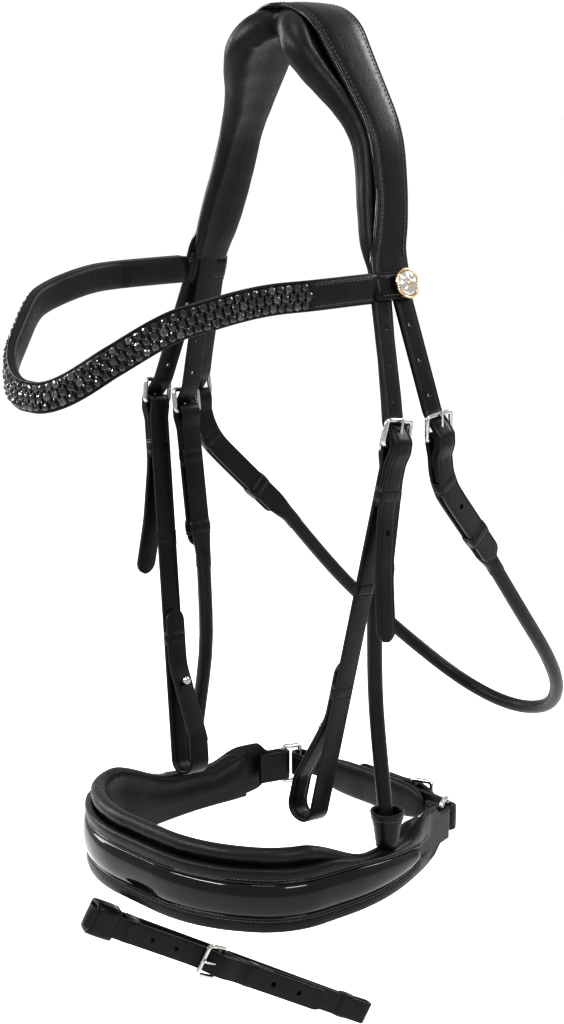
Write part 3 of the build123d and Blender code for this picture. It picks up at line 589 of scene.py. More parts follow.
def add_stitch(mesh, centre, along, side, normal, thickness):
    """One hump of thread that goes into the leather at both ends."""
    half = STITCH_LENGTH / 2
    vertices = []
    for share, width, lift in STITCH_SHAPE:
        for k in range(5):
            angle = 2 * math.pi * k / 5
            vertices.append(
                centre + along * half * share + side * math.cos(angle) * thickness * width
                + normal * (math.sin(angle) * thickness * width + lift * thickness)
            )
    faces = []
    for ring in range(3):
        for k in range(5):
            after = (k + 1) % 5
            faces.append([ring * 5 + k, ring * 5 + after, ring * 5 + 5 + after, ring * 5 + 5 + k])
    faces.append([4, 3, 2, 1, 0])
    faces.append([15, 16, 17, 18, 19])
    mesh.add(vertices, faces)


def cut_holes(piece, holes, radius=1.55, reach=3.2):
    """Punch real holes: each is a place and a direction."""
    cutter_mesh = Mesh()
    for place, direction in holes:
        side = direction.orthogonal().normalized()
        other = direction.cross(side).normalized()
        ring = []
        for depth in (-reach, reach):
            for k in range(20):
                angle = 2 * math.pi * k / 20
                ring.append(
                    place + direction * depth + side * math.cos(angle) * radius
                    + other * math.sin(angle) * radius
                )
        faces = [[k, (k + 1) % 20, 20 + (k + 1) % 20, 20 + k] for k in range(20)]
        faces.append(list(range(20))[::-1])
        faces.append(list(range(20, 40)))
        cutter_mesh.add(ring, faces)
    cutter = cutter_mesh.piece("cutter", [EDGE])
    modifier = piece.modifiers.new("holes", "BOOLEAN")
    modifier.operation = "DIFFERENCE"
    modifier.solver = "EXACT"
    modifier.object = cutter
    apply_modifiers(piece)
    bpy.data.objects.remove(cutter)


def apply_modifiers(piece):
    """Bake a piece's modifiers into its mesh."""
    bpy.context.view_layer.update()
    graph = bpy.context.evaluated_depsgraph_get()
    baked = bpy.data.meshes.new_from_object(piece.evaluated_get(graph))
    piece.modifiers.clear()
    piece.data = baked


def smooth_by_angle(piece, degrees=40):
    """Shade smooth, but keep edges over the angle sharp."""
    mesh = piece.data
    work = bmesh.new()
    work.from_mesh(mesh)
    limit = math.radians(degrees)
    bmesh.ops.recalc_face_normals(work, faces=work.faces)
    for face in work.faces:
        face.smooth = True
    for edge in work.edges:
        edge.smooth = not (len(edge.link_faces) == 2 and edge.calc_face_angle(0) > limit)
    work.to_mesh(mesh)
    work.free()


def strap(name, route, half, thick, body, stitched=(), holes=(), round_start=False,
          round_end=False, crease=1.5, replaces=(), materials=None, blend=None, widths=None):
    """A whole strap: skin, stitching, holes and body; the parts it replaces are hidden."""
    if round_end:
        route = end_steps(route)
    if widths is None:
        widths = tip_widths(route, half, round_start, round_end)
    mesh = Mesh()
    sweep(mesh, route, [strap_section(w, thick, crease) for w in widths])
    piece = mesh.piece(name, materials or [STRAP, THREAD])
    if holes:
        cut_holes(piece, holes)
    smooth_by_angle(piece, 48)
    dress(piece, body, replaces, blend)
    for face, inset in stitched:
        rows = Mesh()
        for sign in (1, -1):
            stitches(rows, route, [sign * (w - inset) for w in widths], face * thick / 2, skip=3.0)
        sewing = rows.piece(f"{name}_stitching_{'out' if face > 0 else 'in'}", [THREAD])
        dress(sewing, body, (), blend)
    return piece


def dress(piece, body, replaces=(), blend=None):
    """Fasten a piece to its body and hide the parts it replaces; a piece given a blend is only baked
    in place.
    """
    if blend is not None:
        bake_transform(piece)
    else:
        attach(piece, body)
    if replaces:
        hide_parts(*replaces)
    return piece


def tube(mesh, path, radius, sides=14, closed=False):
    """Round tube along close points; radius is a number or one for each point."""
    radii = radius if hasattr(radius, "__len__") else [radius] * len(path)
    turns = [2 * math.pi * k / sides for k in range(sides)]
    directions = headings(path, closed)
    across = directions[0].orthogonal().normalized()
    route = []
    sections = []
    for place, along, reach in zip(path, directions, radii):
        across = squared(across, along)
        route.append((place, across, along.cross(across)))
        sections.append([(math.cos(turn) * reach, math.sin(turn) * reach) for turn in turns])
    sweep(mesh, route, sections, closed=closed)


def skin_piece(mesh, name, materials, angle, body, replaces=(), blend=None):
    """Turn a grown mesh into a smooth piece with its body, and hide the parts it replaces."""
    piece = mesh.piece(name, materials)
    smooth_by_angle(piece, angle)
    return dress(piece, body, replaces, blend)


def sew(mesh, name, body):
    """Turn a mesh of stitches into a piece."""
    dress(mesh.piece(name, [THREAD]), body)


def once(node, side):
    """A node that both sides share is named by the near piece."""
    return (node,) if side == 1 else ()


# ================================================================ stations
SHOULDER_X = 38.0
POLL_X = 20.0
KNEE = (60.0, -58.0)
LEG_AT = 135.0
ARCH_RADII = [150.0, 80.0, 33.0, 33.0, 80.0, 150.0]
CROWN_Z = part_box("crown_strap")[1].z / MM - CROWN_LEATHER / 2
BAR = joint_place("cheek_tongue_lift_near")
THROAT_BAR = joint_place("throat_tongue_lift_near")
HANGER_BAR = joint_place("hanger_tongue_lift_near")
DOWN = Vector((BAR.x - SHOULDER_X, 0, BAR.z - CROWN_Z)).normalized()
BROW_Z = -141.0
BROW_Y = 13.5


def mirrored(vector, side):
    """A near-side place or direction, on the side asked for."""
    return Vector((vector.x * side, vector.y, vector.z))


def station(origin, down, side):
    """Station on one side, from its near-side origin and run."""
    return plane(mirrored(origin, side), mirrored(Vector(down), side), (side, 0, 0))


UPPER_CHEEK = Vector((BAR.x - 79.0, BAR.y - 6.7, BAR.z - BROW_Z))
UPPER_THROAT = Vector((BAR.x - 79.0, THROAT_BAR.y - 20.2, BAR.z - BROW_Z))
CHEEK_DOWN = joint_axis("cheek_runner_slide_near")
HANGER_DOWN = joint_axis("hanger_runner_slide_near")

# ================================================================ throatlash cord
# The rolled throatlash's own route, the same points as its tube, in metres.
THROAT_HALF = [
    (0.08775, 0.09147, -0.30753), (0.084, 0.124, -0.345), (0.077, 0.156, -0.377),
    (0.064, 0.185, -0.406), (0.042, 0.206, -0.430), (0.014, 0.214, -0.441),
]


def make_throatlash():
    """Rolled throatlash as a bevelled curve."""
    points = THROAT_HALF + [(-x, y, z) for x, y, z in reversed(THROAT_HALF)]
    data = bpy.data.curves.new("throatlash_cord", "CURVE")
    data.dimensions = "3D"
    spline = data.splines.new("NURBS")
    spline.points.add(len(points) - 1)
    for point, place in zip(spline.points, points):
        point.co = (*place, 1)
    spline.order_u = 3
    spline.use_endpoint_u = True
    spline.resolution_u = 12
    data.bevel_depth = ROLL_RADIUS * MM
    data.bevel_resolution = 6
    data.use_fill_caps = True
    data.materials.append(ROLLED)
    cord = bpy.data.objects.new("throatlash_cord", data)
    bpy.context.scene.collection.objects.link(cord)
    dress(cord, "throatlash", ("throatlash_roll",))
    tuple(THROAT_HALF[0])


make_throatlash()

# ================================================================ buckles and tongues


def buckle_path(st):
    """Centre line of a buckle's wire and its up direction, lifted over the billet."""
    reach = math.hypot(TOE_REACH, TOE_LIFT)
    up = (st["y"] * TOE_REACH + st["z"] * TOE_LIFT).normalized()
    half = FRAME_HALF_WIDTH
    corners = [Vector(c) for c in ((-half, 0), (-half, reach), (half, reach), (half, 0))]
    path = rounded_loop(corners, FRAME_CORNER, 6, 5)
    return [st["o"] + st["x"] * p.x + up * p.y for p in path], up


def make_buckle(name, st, body, replaces):
    """Polished wire frame, slightly flattened."""
    path, up = buckle_path(st)
    face = st["x"].cross(up)
    route = []
    for place, along in zip(path, headings(path, closed=True)):
        route.append((place, along.cross(face).normalized(), face))
    section = []
    for k in range(16):
        angle = 2 * math.pi * k / 16
        section.append((WIRE_RADIUS * math.cos(angle), WIRE_RADIUS * 0.96 * math.sin(angle)))
    mesh = Mesh()
    sweep(mesh, route, section, closed=True)
    dress(mesh.piece(name, [STEEL]), body, replaces)


def make_tongue(name, st, body, replaces):
    """Eye round the heel bar and a tapered finger that rests on the toe bar."""
    mesh = Mesh()
    ring = []
    for k in range(24):
        angle = 2 * math.pi * k / 24
        radial = st["z"] * math.cos(angle) + st["y"] * math.sin(angle)
        ring.append((st["o"] + radial * 2.08, st["x"], radial))
    eye = [(1.5, -0.5), (1.5, 0.3), (1.2, 0.58), (0, 0.64)]
    eye += [(-1.2, 0.58), (-1.5, 0.3), (-1.5, -0.5), (0, -0.6)]
    sweep(mesh, ring, eye, closed=True)
    start = st["o"] + st["z"] * 2.3 - st["y"] * 0.3
    rest = TOE_LIFT + WIRE_RADIUS + 1.0 + 0.1
    stop = st["o"] + st["y"] * (TOE_REACH + 2.2) + st["z"] * (rest + 0.9)
    path = []
    radii = []
    for k in range(13):
        t = k / 12
        bow = math.sin(t * math.pi) * 0.25
        path.append(start.lerp(stop, t) + st["z"] * bow)
        radii.append(1.02 - 0.22 * t if k < 11 else (0.62, 0.2)[k - 11])
    tube(mesh, path, radii, sides=12)
    dress(mesh.piece(name, [STEEL]), body, replaces)


def make_keeper(name, st, at, low, high, body, replaces=(), play=0.1, width=STRAP_WIDTH,
                wall=KEEPER_WALL, length=KEEPER_LENGTH):
    """Leather band round a strap: creased outside, rounded edges."""
    half = width / 2 + play
    centre_out = (low + high) / 2
    half_out = (high - low) / 2 + play
    # The band's outer face, not its inner one, stands off the strap by the play.
    wide = half - wall / 2
    tall = half_out - wall / 2
    corners = [Vector(c) for c in ((-wide, -tall), (-wide, tall), (wide, tall), (wide, -tall))]
    path = rounded_loop(corners, min(wall, half_out + wall / 2 - 0.05), 4, 4)
    route = []
    for p, along in zip(path, headings(path, closed=True)):
        normal = Vector((-along.y, along.x)).normalized()
        place = on(st, at, centre_out + p.y, p.x)
        route.append((place, st["y"] * -1, st["x"] * normal.x + st["z"] * normal.y))
    section = strap_section(length / 2, wall, crease=1.4, dome=0.18)
    mesh = Mesh()
    sweep(mesh, route, section, closed=True)
    skin_piece(mesh, name, [EDGE], 50, body, replaces)


def make_buckle_set(kind, suffix, st, body, frame_nodes):
    """A buckle's frame and its tongue, which turns on the tongue's own body."""
    tongue = f"{kind}_tongue{suffix}"
    make_buckle(f"{kind}_buckle_frame{suffix}", st, body, frame_nodes)
    make_tongue(f"{kind}_buckle_tongue{suffix}", st, tongue, (tongue,))


# A strap folded round a heel bar, as (down, outward) points and the radii of its corners.
FOLD = [(34, LAYER), (10, LAYER), (3, FOLD_TURN), (-FOLD_TURN, FOLD_TURN)]
FOLD += [(-FOLD_TURN, -FOLD_TURN), (3, -FOLD_TURN), (10, -LAYER)]
FOLD_RADII = [8, 8, FOLD_TURN - 0.1, FOLD_TURN - 0.1, 8, 8]


def chape_route(st, tail, tail_radii):
    """Route of a strap folded round the heel bar and running down to its tail."""
    return profile_route(st, FOLD + tail, FOLD_RADII + tail_radii, 3.0)


# ================================================================ crown
CROWN_FRONT = [(0, 0), (12, 1), (27, 4), (45, 6.5), (76, 11.5)]
CROWN_FRONT += [(104, 14), (128, 13), (152, 7), (168, 1), (188, 0.2)]
CROWN_REAR = [(0, 40), (32, 40.6), (50, 40.2), (76, 40), (104, 39)]
CROWN_REAR += [(128, 36.4), (146, 32.8), (164, 28), (188, 27.2)]
PAD_FRONT = [(0, 1), (7, -4), (20, -10.5), (38, -14), (54, -9), (70, -0.5)]
PAD_FRONT += [(86, 5), (100, 7), (118, 5.5), (136, 2.5), (156, 0.5), (174, 1.5)]
PAD_REAR = [(0, 38.5), (50, 38.5), (76, 38), (104, 37), (128, 34.4), (146, 31), (174, 25.5)]
PAD_ROLL = [(0, 7.0), (7, 8.8), (24, 9.2), (48, 8.4), (76, 6.6), (110, 5.0), (174, 4.0)]
CROWN_END = 184.4
CROWN_STITCH_END = 167.5
PAD_END = 173.4
SLIP_DEPTH = (CROWN_LEATHER + LEATHER) / 2 + 0.2


def arch_route(depth, half_length, step=3.0):
    """Arch over the poll at a depth under the crown leather, seen from the front."""
    leg, foot = [(SHOULDER_X + DOWN.x * at, CROWN_Z + DOWN.z * at) for at in (LEG_AT, 260)]
    half = [(POLL_X, CROWN_Z), KNEE, leg, foot]
    corners = [(-x, z) for x, z in reversed(half)] + half
    path = rounded(corners, ARCH_RADII, step, 4.0)
    run = lengths(path)
    middle = run[-1] / 2
    rows = []
    for point, along, past in zip(path, headings(path), run):
        at = past - middle
        if abs(at) > half_length:
            continue
        normal = Vector((-along.y, along.x))
        place = point - normal * depth
        rows.append((at, Vector((place.x, 0, place.y)), Vector((normal.x, 0, normal.y))))
    return rows


def make_crown():
    """Shaped crown flap from browband to browband, stitched along both edges."""
    rows = arch_route(0, CROWN_END)
    route = []
    widths = []
    sections = []
    for at, place, out in rows:
        front = curve_value(CROWN_FRONT, abs(at))
        rear = curve_value(CROWN_REAR, abs(at))
        half = (rear - front) / 2
        centre = place + Vector((0, (front + rear) / 2, 0))
        route.append((centre, Vector((0, 1, 0)), out))
        widths.append(half)
        dip = 0.5 * math.exp(-(at / 3.2) ** 2)
        section = []
        for u, v in strap_section(half, CROWN_LEATHER, crease=1.7, dome=0.3):
            lift = 0.75 * (1 - (u / half) ** 2) * max(0, 1 - (abs(at) / 160) ** 2)
            section.append((u, v + lift - dip if v > 0 else v))
        sections.append(section)
    mesh = Mesh()
    sweep(mesh, route, sections)
    skin_piece(mesh, "crown_flap", [STRAP], 50, "headpiece", ("crown_strap",))
    sewing = Mesh()
    clear = [index for index, row in enumerate(rows) if abs(row[0]) < CROWN_STITCH_END]
    seen = [route[index] for index in clear]
    for sign in (1, -1):
        insets = [sign * (widths[i] - 3.2) for i in clear]
        stitches(sewing, seen, insets, CROWN_LEATHER / 2 + 0.28, 2.7, thickness=0.27)
    sew(sewing, "crown_stitching", "headpiece")
    path = []
    for at, place, out in rows:
        edge = curve_value(CROWN_FRONT, abs(at)) - 0.7
        path.append(place + Vector((0, edge, 0)) + out * 0.35)
    piping = Mesh()
    tube(piping, path, 1.05, sides=10)
    dress(piping.piece("crown_piping", [PATENT]), "headpiece")


def pad_section(front, rear, at):
    """Pad under the crown: a full roll in front, a shallow middle and a small rear roll."""
    roll = curve_value(PAD_ROLL, abs(at))
    centre_depth = -roll - 0.2
    points = []
    for k in range(13):
        angle = math.radians(62 + k * 20)
        points.append((front + roll + roll * math.cos(angle), centre_depth + roll * math.sin(angle)))
    width = rear - front
    for share in (0.5, 0.6, 0.7, 0.8):
        swell = math.sin(share * math.pi)
        points.append((front + width * share, -9.1 - 0.9 * swell - (roll - 4) * (1 - share)))
    small = 3.0
    for k in range(9):
        angle = math.radians(-80 + k * 20)
        points.append((rear - small + small * math.cos(angle), -5.6 + small * math.sin(angle)))
    points.append((front + width * 0.6, -3.9))
    points.append((front + width * 0.35, -3.9))
    return points[::-1]


def make_crown_pad():
    """Soft padding, pinched at the middle seam and tapering to the browband."""
    rows = arch_route(0, PAD_END, 2.5)
    route = []
    sections = []
    for at, place, out in rows:
        front = curve_value(PAD_FRONT, abs(at))
        rear = curve_value(PAD_REAR, abs(at))
        taper = min(1.0, (PAD_END + 4 - abs(at)) / 22)
        pinch = 1 - 0.16 * math.exp(-(at / 2.6) ** 2)
        soft = 1 + 0.018 * math.sin(at * 0.21) + 0.012 * math.sin(at * 0.47 + 1)
        section = []
        for y, d in pad_section(front, rear, at):
            depth = -3.0 + (d + 3.0) * (0.45 + 0.55 * taper) * (soft if d < -4 else 1) * pinch
            section.append((y, depth))
        route.append((place, Vector((0, 1, 0)), out))
        sections.append(section)
    mesh = Mesh()
    sweep(mesh, route, sections)
    piece = skin_piece(
        mesh, "crown_padding", [SOFT], 65, "headpiece", ("crown_pad",)
    )
    seam = Mesh()
    section = pad_section(PAD_FRONT[0][1], PAD_REAR[0][1], 0)
    for at in (-1.7, 1.7):
        place, out = next(row[1:] for row in rows if abs(row[0] - at) < 2.6)
        path = [place + Vector((at, y, 0)) + out * (d * 0.93 - 0.1) for y, d in section[10:22]]
        fine = thin(path, 1.2)
        ups = [(p, Vector((1, 0, 0)), Vector((0, -0.6, -0.8))) for p in fine]
        stitches(seam, ups, [0] * len(ups), 0.3, 2.6, thickness=0.26)
    sew(seam, "crown_seam_stitching", "headpiece")


make_crown()
make_crown_pad()

# ================================================================ billets


BILLET_STEP = 2.2
BILLET_HALF = (STRAP_WIDTH - 0.6) / 2
BILLET_TOP_X = 74.4
BILLET_TOP_Z = BROW_Z + 9
CHEEK_BILLET_Y = 6.9
THROAT_BILLET_Y = 20.2
HOLES_ABOVE = (24, 44, 64)
HOLE_AT = 48


def billet_places(top, upper, foot, foot_radii):
    """Centre line of a billet: down from the crown, under the toe bar, over the heel bar
    and down over the chape to its tip."""
    head = [on(upper, -27.0), on(upper, -TOE_REACH - 2.0, 0.1), on(upper, -4.4, 4.3)]
    head.append(on(upper, -0.6, 5.9))
    return rounded([top] + head + foot, [30, 12, 6, 4] + foot_radii, BILLET_STEP)


def turned_route(places, x_top, x_low, bend_from, bend_to):
    """Route whose across direction turns from one station's to another's."""
    route = []
    for place, along, at in zip(places, headings(places), lengths(places)):
        share = min(1, max(0, (at - bend_from) / (bend_to - bend_from)))
        route.append(framed(place, x_top.lerp(x_low, share), along))
    return route


def make_cheek_billet(side_name, side):
    """Billet of a cheekpiece, which bends where it passes the heel bar."""
    upper = station(BAR, UPPER_CHEEK, side)
    lower = station(BAR, CHEEK_DOWN, side)
    top = mirrored(Vector((BILLET_TOP_X, CHEEK_BILLET_Y, BILLET_TOP_Z)), side)
    foot = [on(lower, 3.4, 5.7), on(lower, 10.5, BILLET_OUT), on(lower, 37, BILLET_OUT)]
    foot += [on(lower, 72, BILLET_OUT + 7.5), on(lower, 106, BILLET_OUT + 19)]
    places = billet_places(top, upper, foot, [6, 10, 60, 120])
    at_bar = distance_to(places, upper["o"])
    route = turned_route(places, upper["x"], lower["x"], at_bar - 5, at_bar + 5)
    holes = [(on(upper, -s), upper["z"]) for s in HOLES_ABOVE]
    holes.append((on(lower, HOLE_AT, BILLET_OUT + 1.2), lower["z"]))
    strap(
        f"cheek_billet_strap_{side_name}", route, BILLET_HALF, CROWN_LEATHER, None,
        holes=holes, round_end=True, replaces=(f"cheek_billet_{side_name}",),
        blend=("headpiece", f"cheek_{side_name}", on(upper, -7), on(lower, 7)),
    )


def make_throat_billet(side_name, side):
    """Billet of the throatlash, which curves to the rear with the strap under it."""
    upper = station(THROAT_BAR, UPPER_THROAT, side)
    bends = throat_bend(side)
    top = mirrored(Vector((BILLET_TOP_X, THROAT_BILLET_Y, BILLET_TOP_Z)), side)
    foot = [on(bends(0), 3.4, 5.7)]
    foot += [on(bends(s), 0, BILLET_OUT) for s in (10.5, 22, 34, 46, 60, 80, 101)]
    places = billet_places(top, upper, foot, [6, 8, 20, 30, 30, 40, 60, 60])
    route = throat_route(places, upper, bends, distance_to(places, upper["o"]))
    holes = [(on(upper, -s), upper["z"]) for s in HOLES_ABOVE]
    holes.append((on(bends(HOLE_AT), 0, BILLET_OUT), bends(HOLE_AT)["z"]))
    strap(
        f"throat_billet_strap_{side_name}", route, BILLET_HALF, CROWN_LEATHER, "headpiece",
        holes=holes, round_end=True, replaces=once("throat_billets", side),
    )


BEND_CORNER = 24.0
BEND_RADIUS = 45.0
BEND_ANGLE = math.radians(40)
BEND_REST = 85.0
BEND_TURN_BACK = math.radians(31.3)
THROAT_LEAN = Vector((-13.4, 63.0, -84.5))
THROAT_HINGE_AT = BEND_CORNER + BEND_REST - 2 * BEND_RADIUS * math.tan(BEND_ANGLE / 2)
THROAT_HINGE_AT += BEND_RADIUS * BEND_ANGLE


def throat_bend(side):
    """Station at any distance down a throat strap, which curves to the rear in its own plane."""
    leaning = station(THROAT_BAR, THROAT_LEAN, side)
    up = leaning["y"] * math.cos(BEND_TURN_BACK) + leaning["x"] * math.sin(BEND_TURN_BACK) * side
    st = {"o": leaning["o"], "x": up.cross(leaning["z"]), "y": up, "z": leaning["z"]}
    lead = BEND_CORNER - BEND_RADIUS * math.tan(BEND_ANGLE / 2)
    arc = BEND_RADIUS * BEND_ANGLE

    def at(down):
        turn = min(max((down - lead) / BEND_RADIUS, 0), BEND_ANGLE)
        past = max(down - lead - arc, 0)
        rear = BEND_RADIUS * (1 - math.cos(turn)) + past * math.sin(turn)
        drop = min(down, lead) + BEND_RADIUS * math.sin(turn) + past * math.cos(turn)
        here_up = st["y"] * math.cos(turn) - st["x"] * math.sin(turn) * side
        place = st["o"] + st["x"] * rear * side - st["y"] * drop
        return {"o": place, "x": here_up.cross(st["z"]), "y": here_up, "z": st["z"]}

    return at


def throat_route(places, upper, bends, at_bar):
    """Route of a throat billet: square to the crown above the bar, to the bend below it."""
    route = []
    for place, along, at in zip(places, headings(places), lengths(places)):
        past = at - at_bar
        share = min(1, max(0, (past + 4) / 8))
        across = upper["x"].lerp(bends(max(past, 0))["x"], share)
        route.append(framed(place, across, along))
    return route


for side_name, side in SIDES:
    make_cheek_billet(side_name, side)
    make_throat_billet(side_name, side)

# ================================================================ cheekpieces
CHEEK_LENGTH = 228.0
BIT_LOOP_DEPTH = 18.0
BIT_TIP_AT = 128.0
BIT_KEEPER_AT = 146.0
HOOK_AT = 172.0
CHEEK_RUNNER_AT = 84.0


def make_cheekpiece(side_name, side):
    """Cheekpiece folded round its heel bar and round the bit loop, with its three keepers."""
    lower = station(BAR, CHEEK_DOWN, side)
    body = f"cheek_{side_name}"
    inner = -(LAYER + LEATHER + 0.65)
    bottom = -LAYER - BIT_LOOP_DEPTH
    tail = [(CHEEK_LENGTH, -LAYER), (CHEEK_LENGTH, bottom), (CHEEK_LENGTH - 22, bottom)]
    tail += [(BIT_KEEPER_AT + 16, inner), (BIT_TIP_AT, inner)]
    route = chape_route(lower, tail, [8.0, 8.0, 14, 30])
    strap(
        f"cheek_strap_{side_name}", route, FLAT_HALF, LEATHER, body,
        replaces=(f"cheekpiece_{side_name}",), round_end=True,
    )
    make_keeper(
        f"cheek_fixed_keeper_{side_name}", lower, FIXED_KEEPER_AT, STACK_LOW, STACK_HIGH, body,
        (f"cheek_keeper_{side_name}",),
    )
    make_keeper(
        f"cheek_sliding_keeper_{side_name}", lower, CHEEK_RUNNER_AT, STACK_LOW,
        -STACK_LOW - LEATHER - 0.3, f"cheek_runner_{side_name}", (f"cheek_runner_{side_name}",),
        play=0.35,
    )
    make_keeper(
        f"bit_end_keeper_{side_name}", lower, BIT_KEEPER_AT, inner - LEATHER / 2, -0.15, body,
        (f"bit_keeper_{side_name}",),
    )


for side_name, side in SIDES:
    make_cheekpiece(side_name, side)

# ================================================================ hangers and throat ends


SLEEVE_ABOVE = 15
SLEEVE_LENGTH = 24
SLEEVE_RADIUS = ROLL_RADIUS + 0.35
ROLL_START = 1.8
RUNNER_PLAY = 0.6


def squircle(half_wide, half_tall, power_wide, power_tall, sides):
    """Closed outline between an ellipse and a rectangle: the lower its powers, the squarer."""
    outline = []
    for k in range(sides):
        angle = 2 * math.pi * k / sides
        c = math.cos(angle)
        s = math.sin(angle)
        u = half_wide * math.copysign(abs(c) ** power_wide, c)
        v = half_tall * math.copysign(abs(s) ** power_tall, s)
        outline.append((u, v))
    return outline


def make_flat_end(end_name, side_name, side, bends, hinge_at, runner_at, below, body_below):
    """Folded strap from a buckle to the rolled part, which grows out of its lower end."""
    low = bends(0)
    corners = [on(bends(max(s, 0)), min(s, 0), n) for s, n in FOLD]
    corners += [on(bends(s), 0, -LAYER) for s in (18, 26, 34, 42, 52, hinge_at - 14)]
    places = rounded(corners, FOLD_RADII + [30, 30, 30, 30, 60])
    route = []
    for place, along in zip(places, headings(places)):
        drop = -(place - low["o"]).dot(low["y"])
        route.append(framed(place, bends(max(drop, 0))["x"], along))
    strap(
        f"{end_name}_flat_strap_{side_name}", route, FLAT_HALF, LEATHER, "headpiece",
        replaces=(f"{end_name}_flat_{side_name}",),
    )
    make_keeper(
        f"{end_name}_fixed_keeper_{side_name}", bends(FIXED_KEEPER_AT), 0, STACK_LOW, STACK_HIGH,
        "headpiece", once(f"{end_name}_keepers", side),
    )
    make_keeper(
        f"{end_name}_sliding_keeper_{side_name}", bends(runner_at), 0, STACK_LOW, STACK_HIGH,
        f"{end_name}_runner_{side_name}", (f"{end_name}_runner_{side_name}",), play=RUNNER_PLAY,
    )
    make_sleeve(f"{end_name}_sleeve_{side_name}", bends, hinge_at, below, body_below)


def make_sleeve(name, bends, hinge_at, below, body_below):
    """Flat leather gathered and sewn into the round of the roll."""
    route = []
    sections = []
    stops = 18
    for index in range(stops + 1):
        share = index / stops
        down = hinge_at - SLEEVE_ABOVE + share * SLEEVE_LENGTH
        if down <= hinge_at + ROLL_START:
            st = bends(down)
            route.append((on(st, 0, -LAYER), st["x"], st["z"]))
        else:
            route.append(below(down - hinge_at - ROLL_START, bends(hinge_at + ROLL_START)["x"]))
        round_share = min(1, share * 1.35)
        round_share = round_share * round_share * (3 - 2 * round_share)
        flat_share = 1 - round_share
        half_wide = FLAT_HALF * flat_share + SLEEVE_RADIUS * round_share
        half_thick = (LEATHER / 2 + 0.05) * flat_share + SLEEVE_RADIUS * round_share
        power = 0.35 + 0.65 * round_share
        sections.append(squircle(half_wide, half_thick, power, power, 24))
    mesh = Mesh()
    sweep(mesh, route, sections)
    hinge_place = on(bends(hinge_at), 0, -LAYER)
    along = bends(hinge_at)["y"] * -1
    blend = ("headpiece", body_below, hinge_place - along * 6, hinge_place + along * 7)
    skin_piece(mesh, name, [ROLLED], 60, None, (), blend)


def straight(st):
    """Stations further down a straight strap."""

    def at(down):
        return {"o": st["o"] - st["y"] * down, "x": st["x"], "y": st["y"], "z": st["z"]}

    return at


HANGER_HINGE_AT = 88.0
COLLAR = joint_place("noseband_tilt")
COLLAR_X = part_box("hanger_collars")[1].x / MM - 9.8
HANGER_RUNNER_AT = 72.0
THROAT_RUNNER_AT = 77.0


def hanger_line(side):
    """Centre line of a rolled hanger, from its sewn end to the collar."""
    lower = station(HANGER_BAR, HANGER_DOWN, side)
    top = on(lower, HANGER_HINGE_AT + ROLL_START, -LAYER)
    middle = Vector((74 * side, 9, -376))
    return rounded([top, middle, Vector((COLLAR_X * side, COLLAR.y, COLLAR.z))], 220, 3.0)


def below(line):
    """Rows of a route down a roll's centre line, at any distance from its sewn end."""
    run = lengths(line)

    def at(past, across):
        index = max(i for i in range(len(run) - 1) if run[i] <= past)
        along = (line[index + 1] - line[index]).normalized()
        return framed(line[index] + along * (past - run[index]), across, along)

    return at


for side_name, side in SIDES:
    hanger_bends = straight(station(HANGER_BAR, HANGER_DOWN, side))
    make_flat_end(
        "hanger", side_name, side, hanger_bends, HANGER_HINGE_AT, HANGER_RUNNER_AT,
        below(hanger_line(side)), "hangers",
    )
    cord_top = [mirrored(Vector(place) / MM, side) for place in THROAT_HALF[:2]]
    make_flat_end(
        "throat", side_name, side, throat_bend(side), THROAT_HINGE_AT, THROAT_RUNNER_AT,
        below(cord_top), "throatlash",
    )


def make_hanger_rolls():
    """Rolled leather of both hangers, from their sewn ends to the collars."""
    mesh = Mesh()
    for side in (1, -1):
        tube(mesh, hanger_line(side), ROLL_RADIUS, sides=20)
    piece = mesh.piece("hanger_round_leather", [ROLLED])
    dress(piece, "hangers", ("hanger_rolls",))


make_hanger_rolls()

# ================================================================ sliphead and its billets


SLIP_HALF = 6.5
SLIP_END = 142.4
SLIP_Y = [(0, 20.0), (62, 20.0), (SLIP_END, 12.6)]
SLIP_TOP = Vector((76.8, 11.0, -151.5))


def make_sliphead():
    """Strap of the noseband: over the poll under the crown, down to both hanger buckles."""
    route = []
    for at, place, out in arch_route(SLIP_DEPTH, SLIP_END):
        y = curve_value(SLIP_Y, abs(at))
        route.append((place + Vector((0, y, 0)), Vector((0, 1, 0)), out))
    strap(
        "sliphead_strap", route, SLIP_HALF, LEATHER, "headpiece",
        replaces=("sliphead",),
    )
    ends = {-1: route[0][0], 1: route[-1][0]}
    for side_name, side in SIDES:
        upper = station(HANGER_BAR, HANGER_BAR - SLIP_TOP, side)
        lower = station(HANGER_BAR, HANGER_DOWN, side)
        foot = [on(lower, s, n) for s, n in ((3.4, 5.7), (10.5, BILLET_OUT), (84, BILLET_OUT))]
        places = billet_places(ends[side], upper, foot, [6, 10])
        holes = [(on(upper, -s), upper["z"]) for s in HOLES_ABOVE[:2]]
        holes.append((on(lower, HOLE_AT, BILLET_OUT), lower["z"]))
        strap(
            f"hanger_billet_strap_{side_name}", turned_route(places, upper["x"], lower["x"], 0, 60),
            SLIP_HALF, LEATHER, "headpiece", holes=holes, round_end=True,
            replaces=once("hanger_billets", side),
        )
        make_buckle_set("hanger", f"_{side_name}", upper, "headpiece", once("hanger_buckles", side))


make_sliphead()

for side_name, side in SIDES:
    make_buckle_set(
        "cheek", f"_{side_name}", station(BAR, UPPER_CHEEK, side), "headpiece",
        (f"cheek_buckle_{side_name}",),
    )
    make_buckle_set(
        "throat", f"_{side_name}", station(THROAT_BAR, UPPER_THROAT, side), "headpiece",
        once("throat_buckles", side),
    )

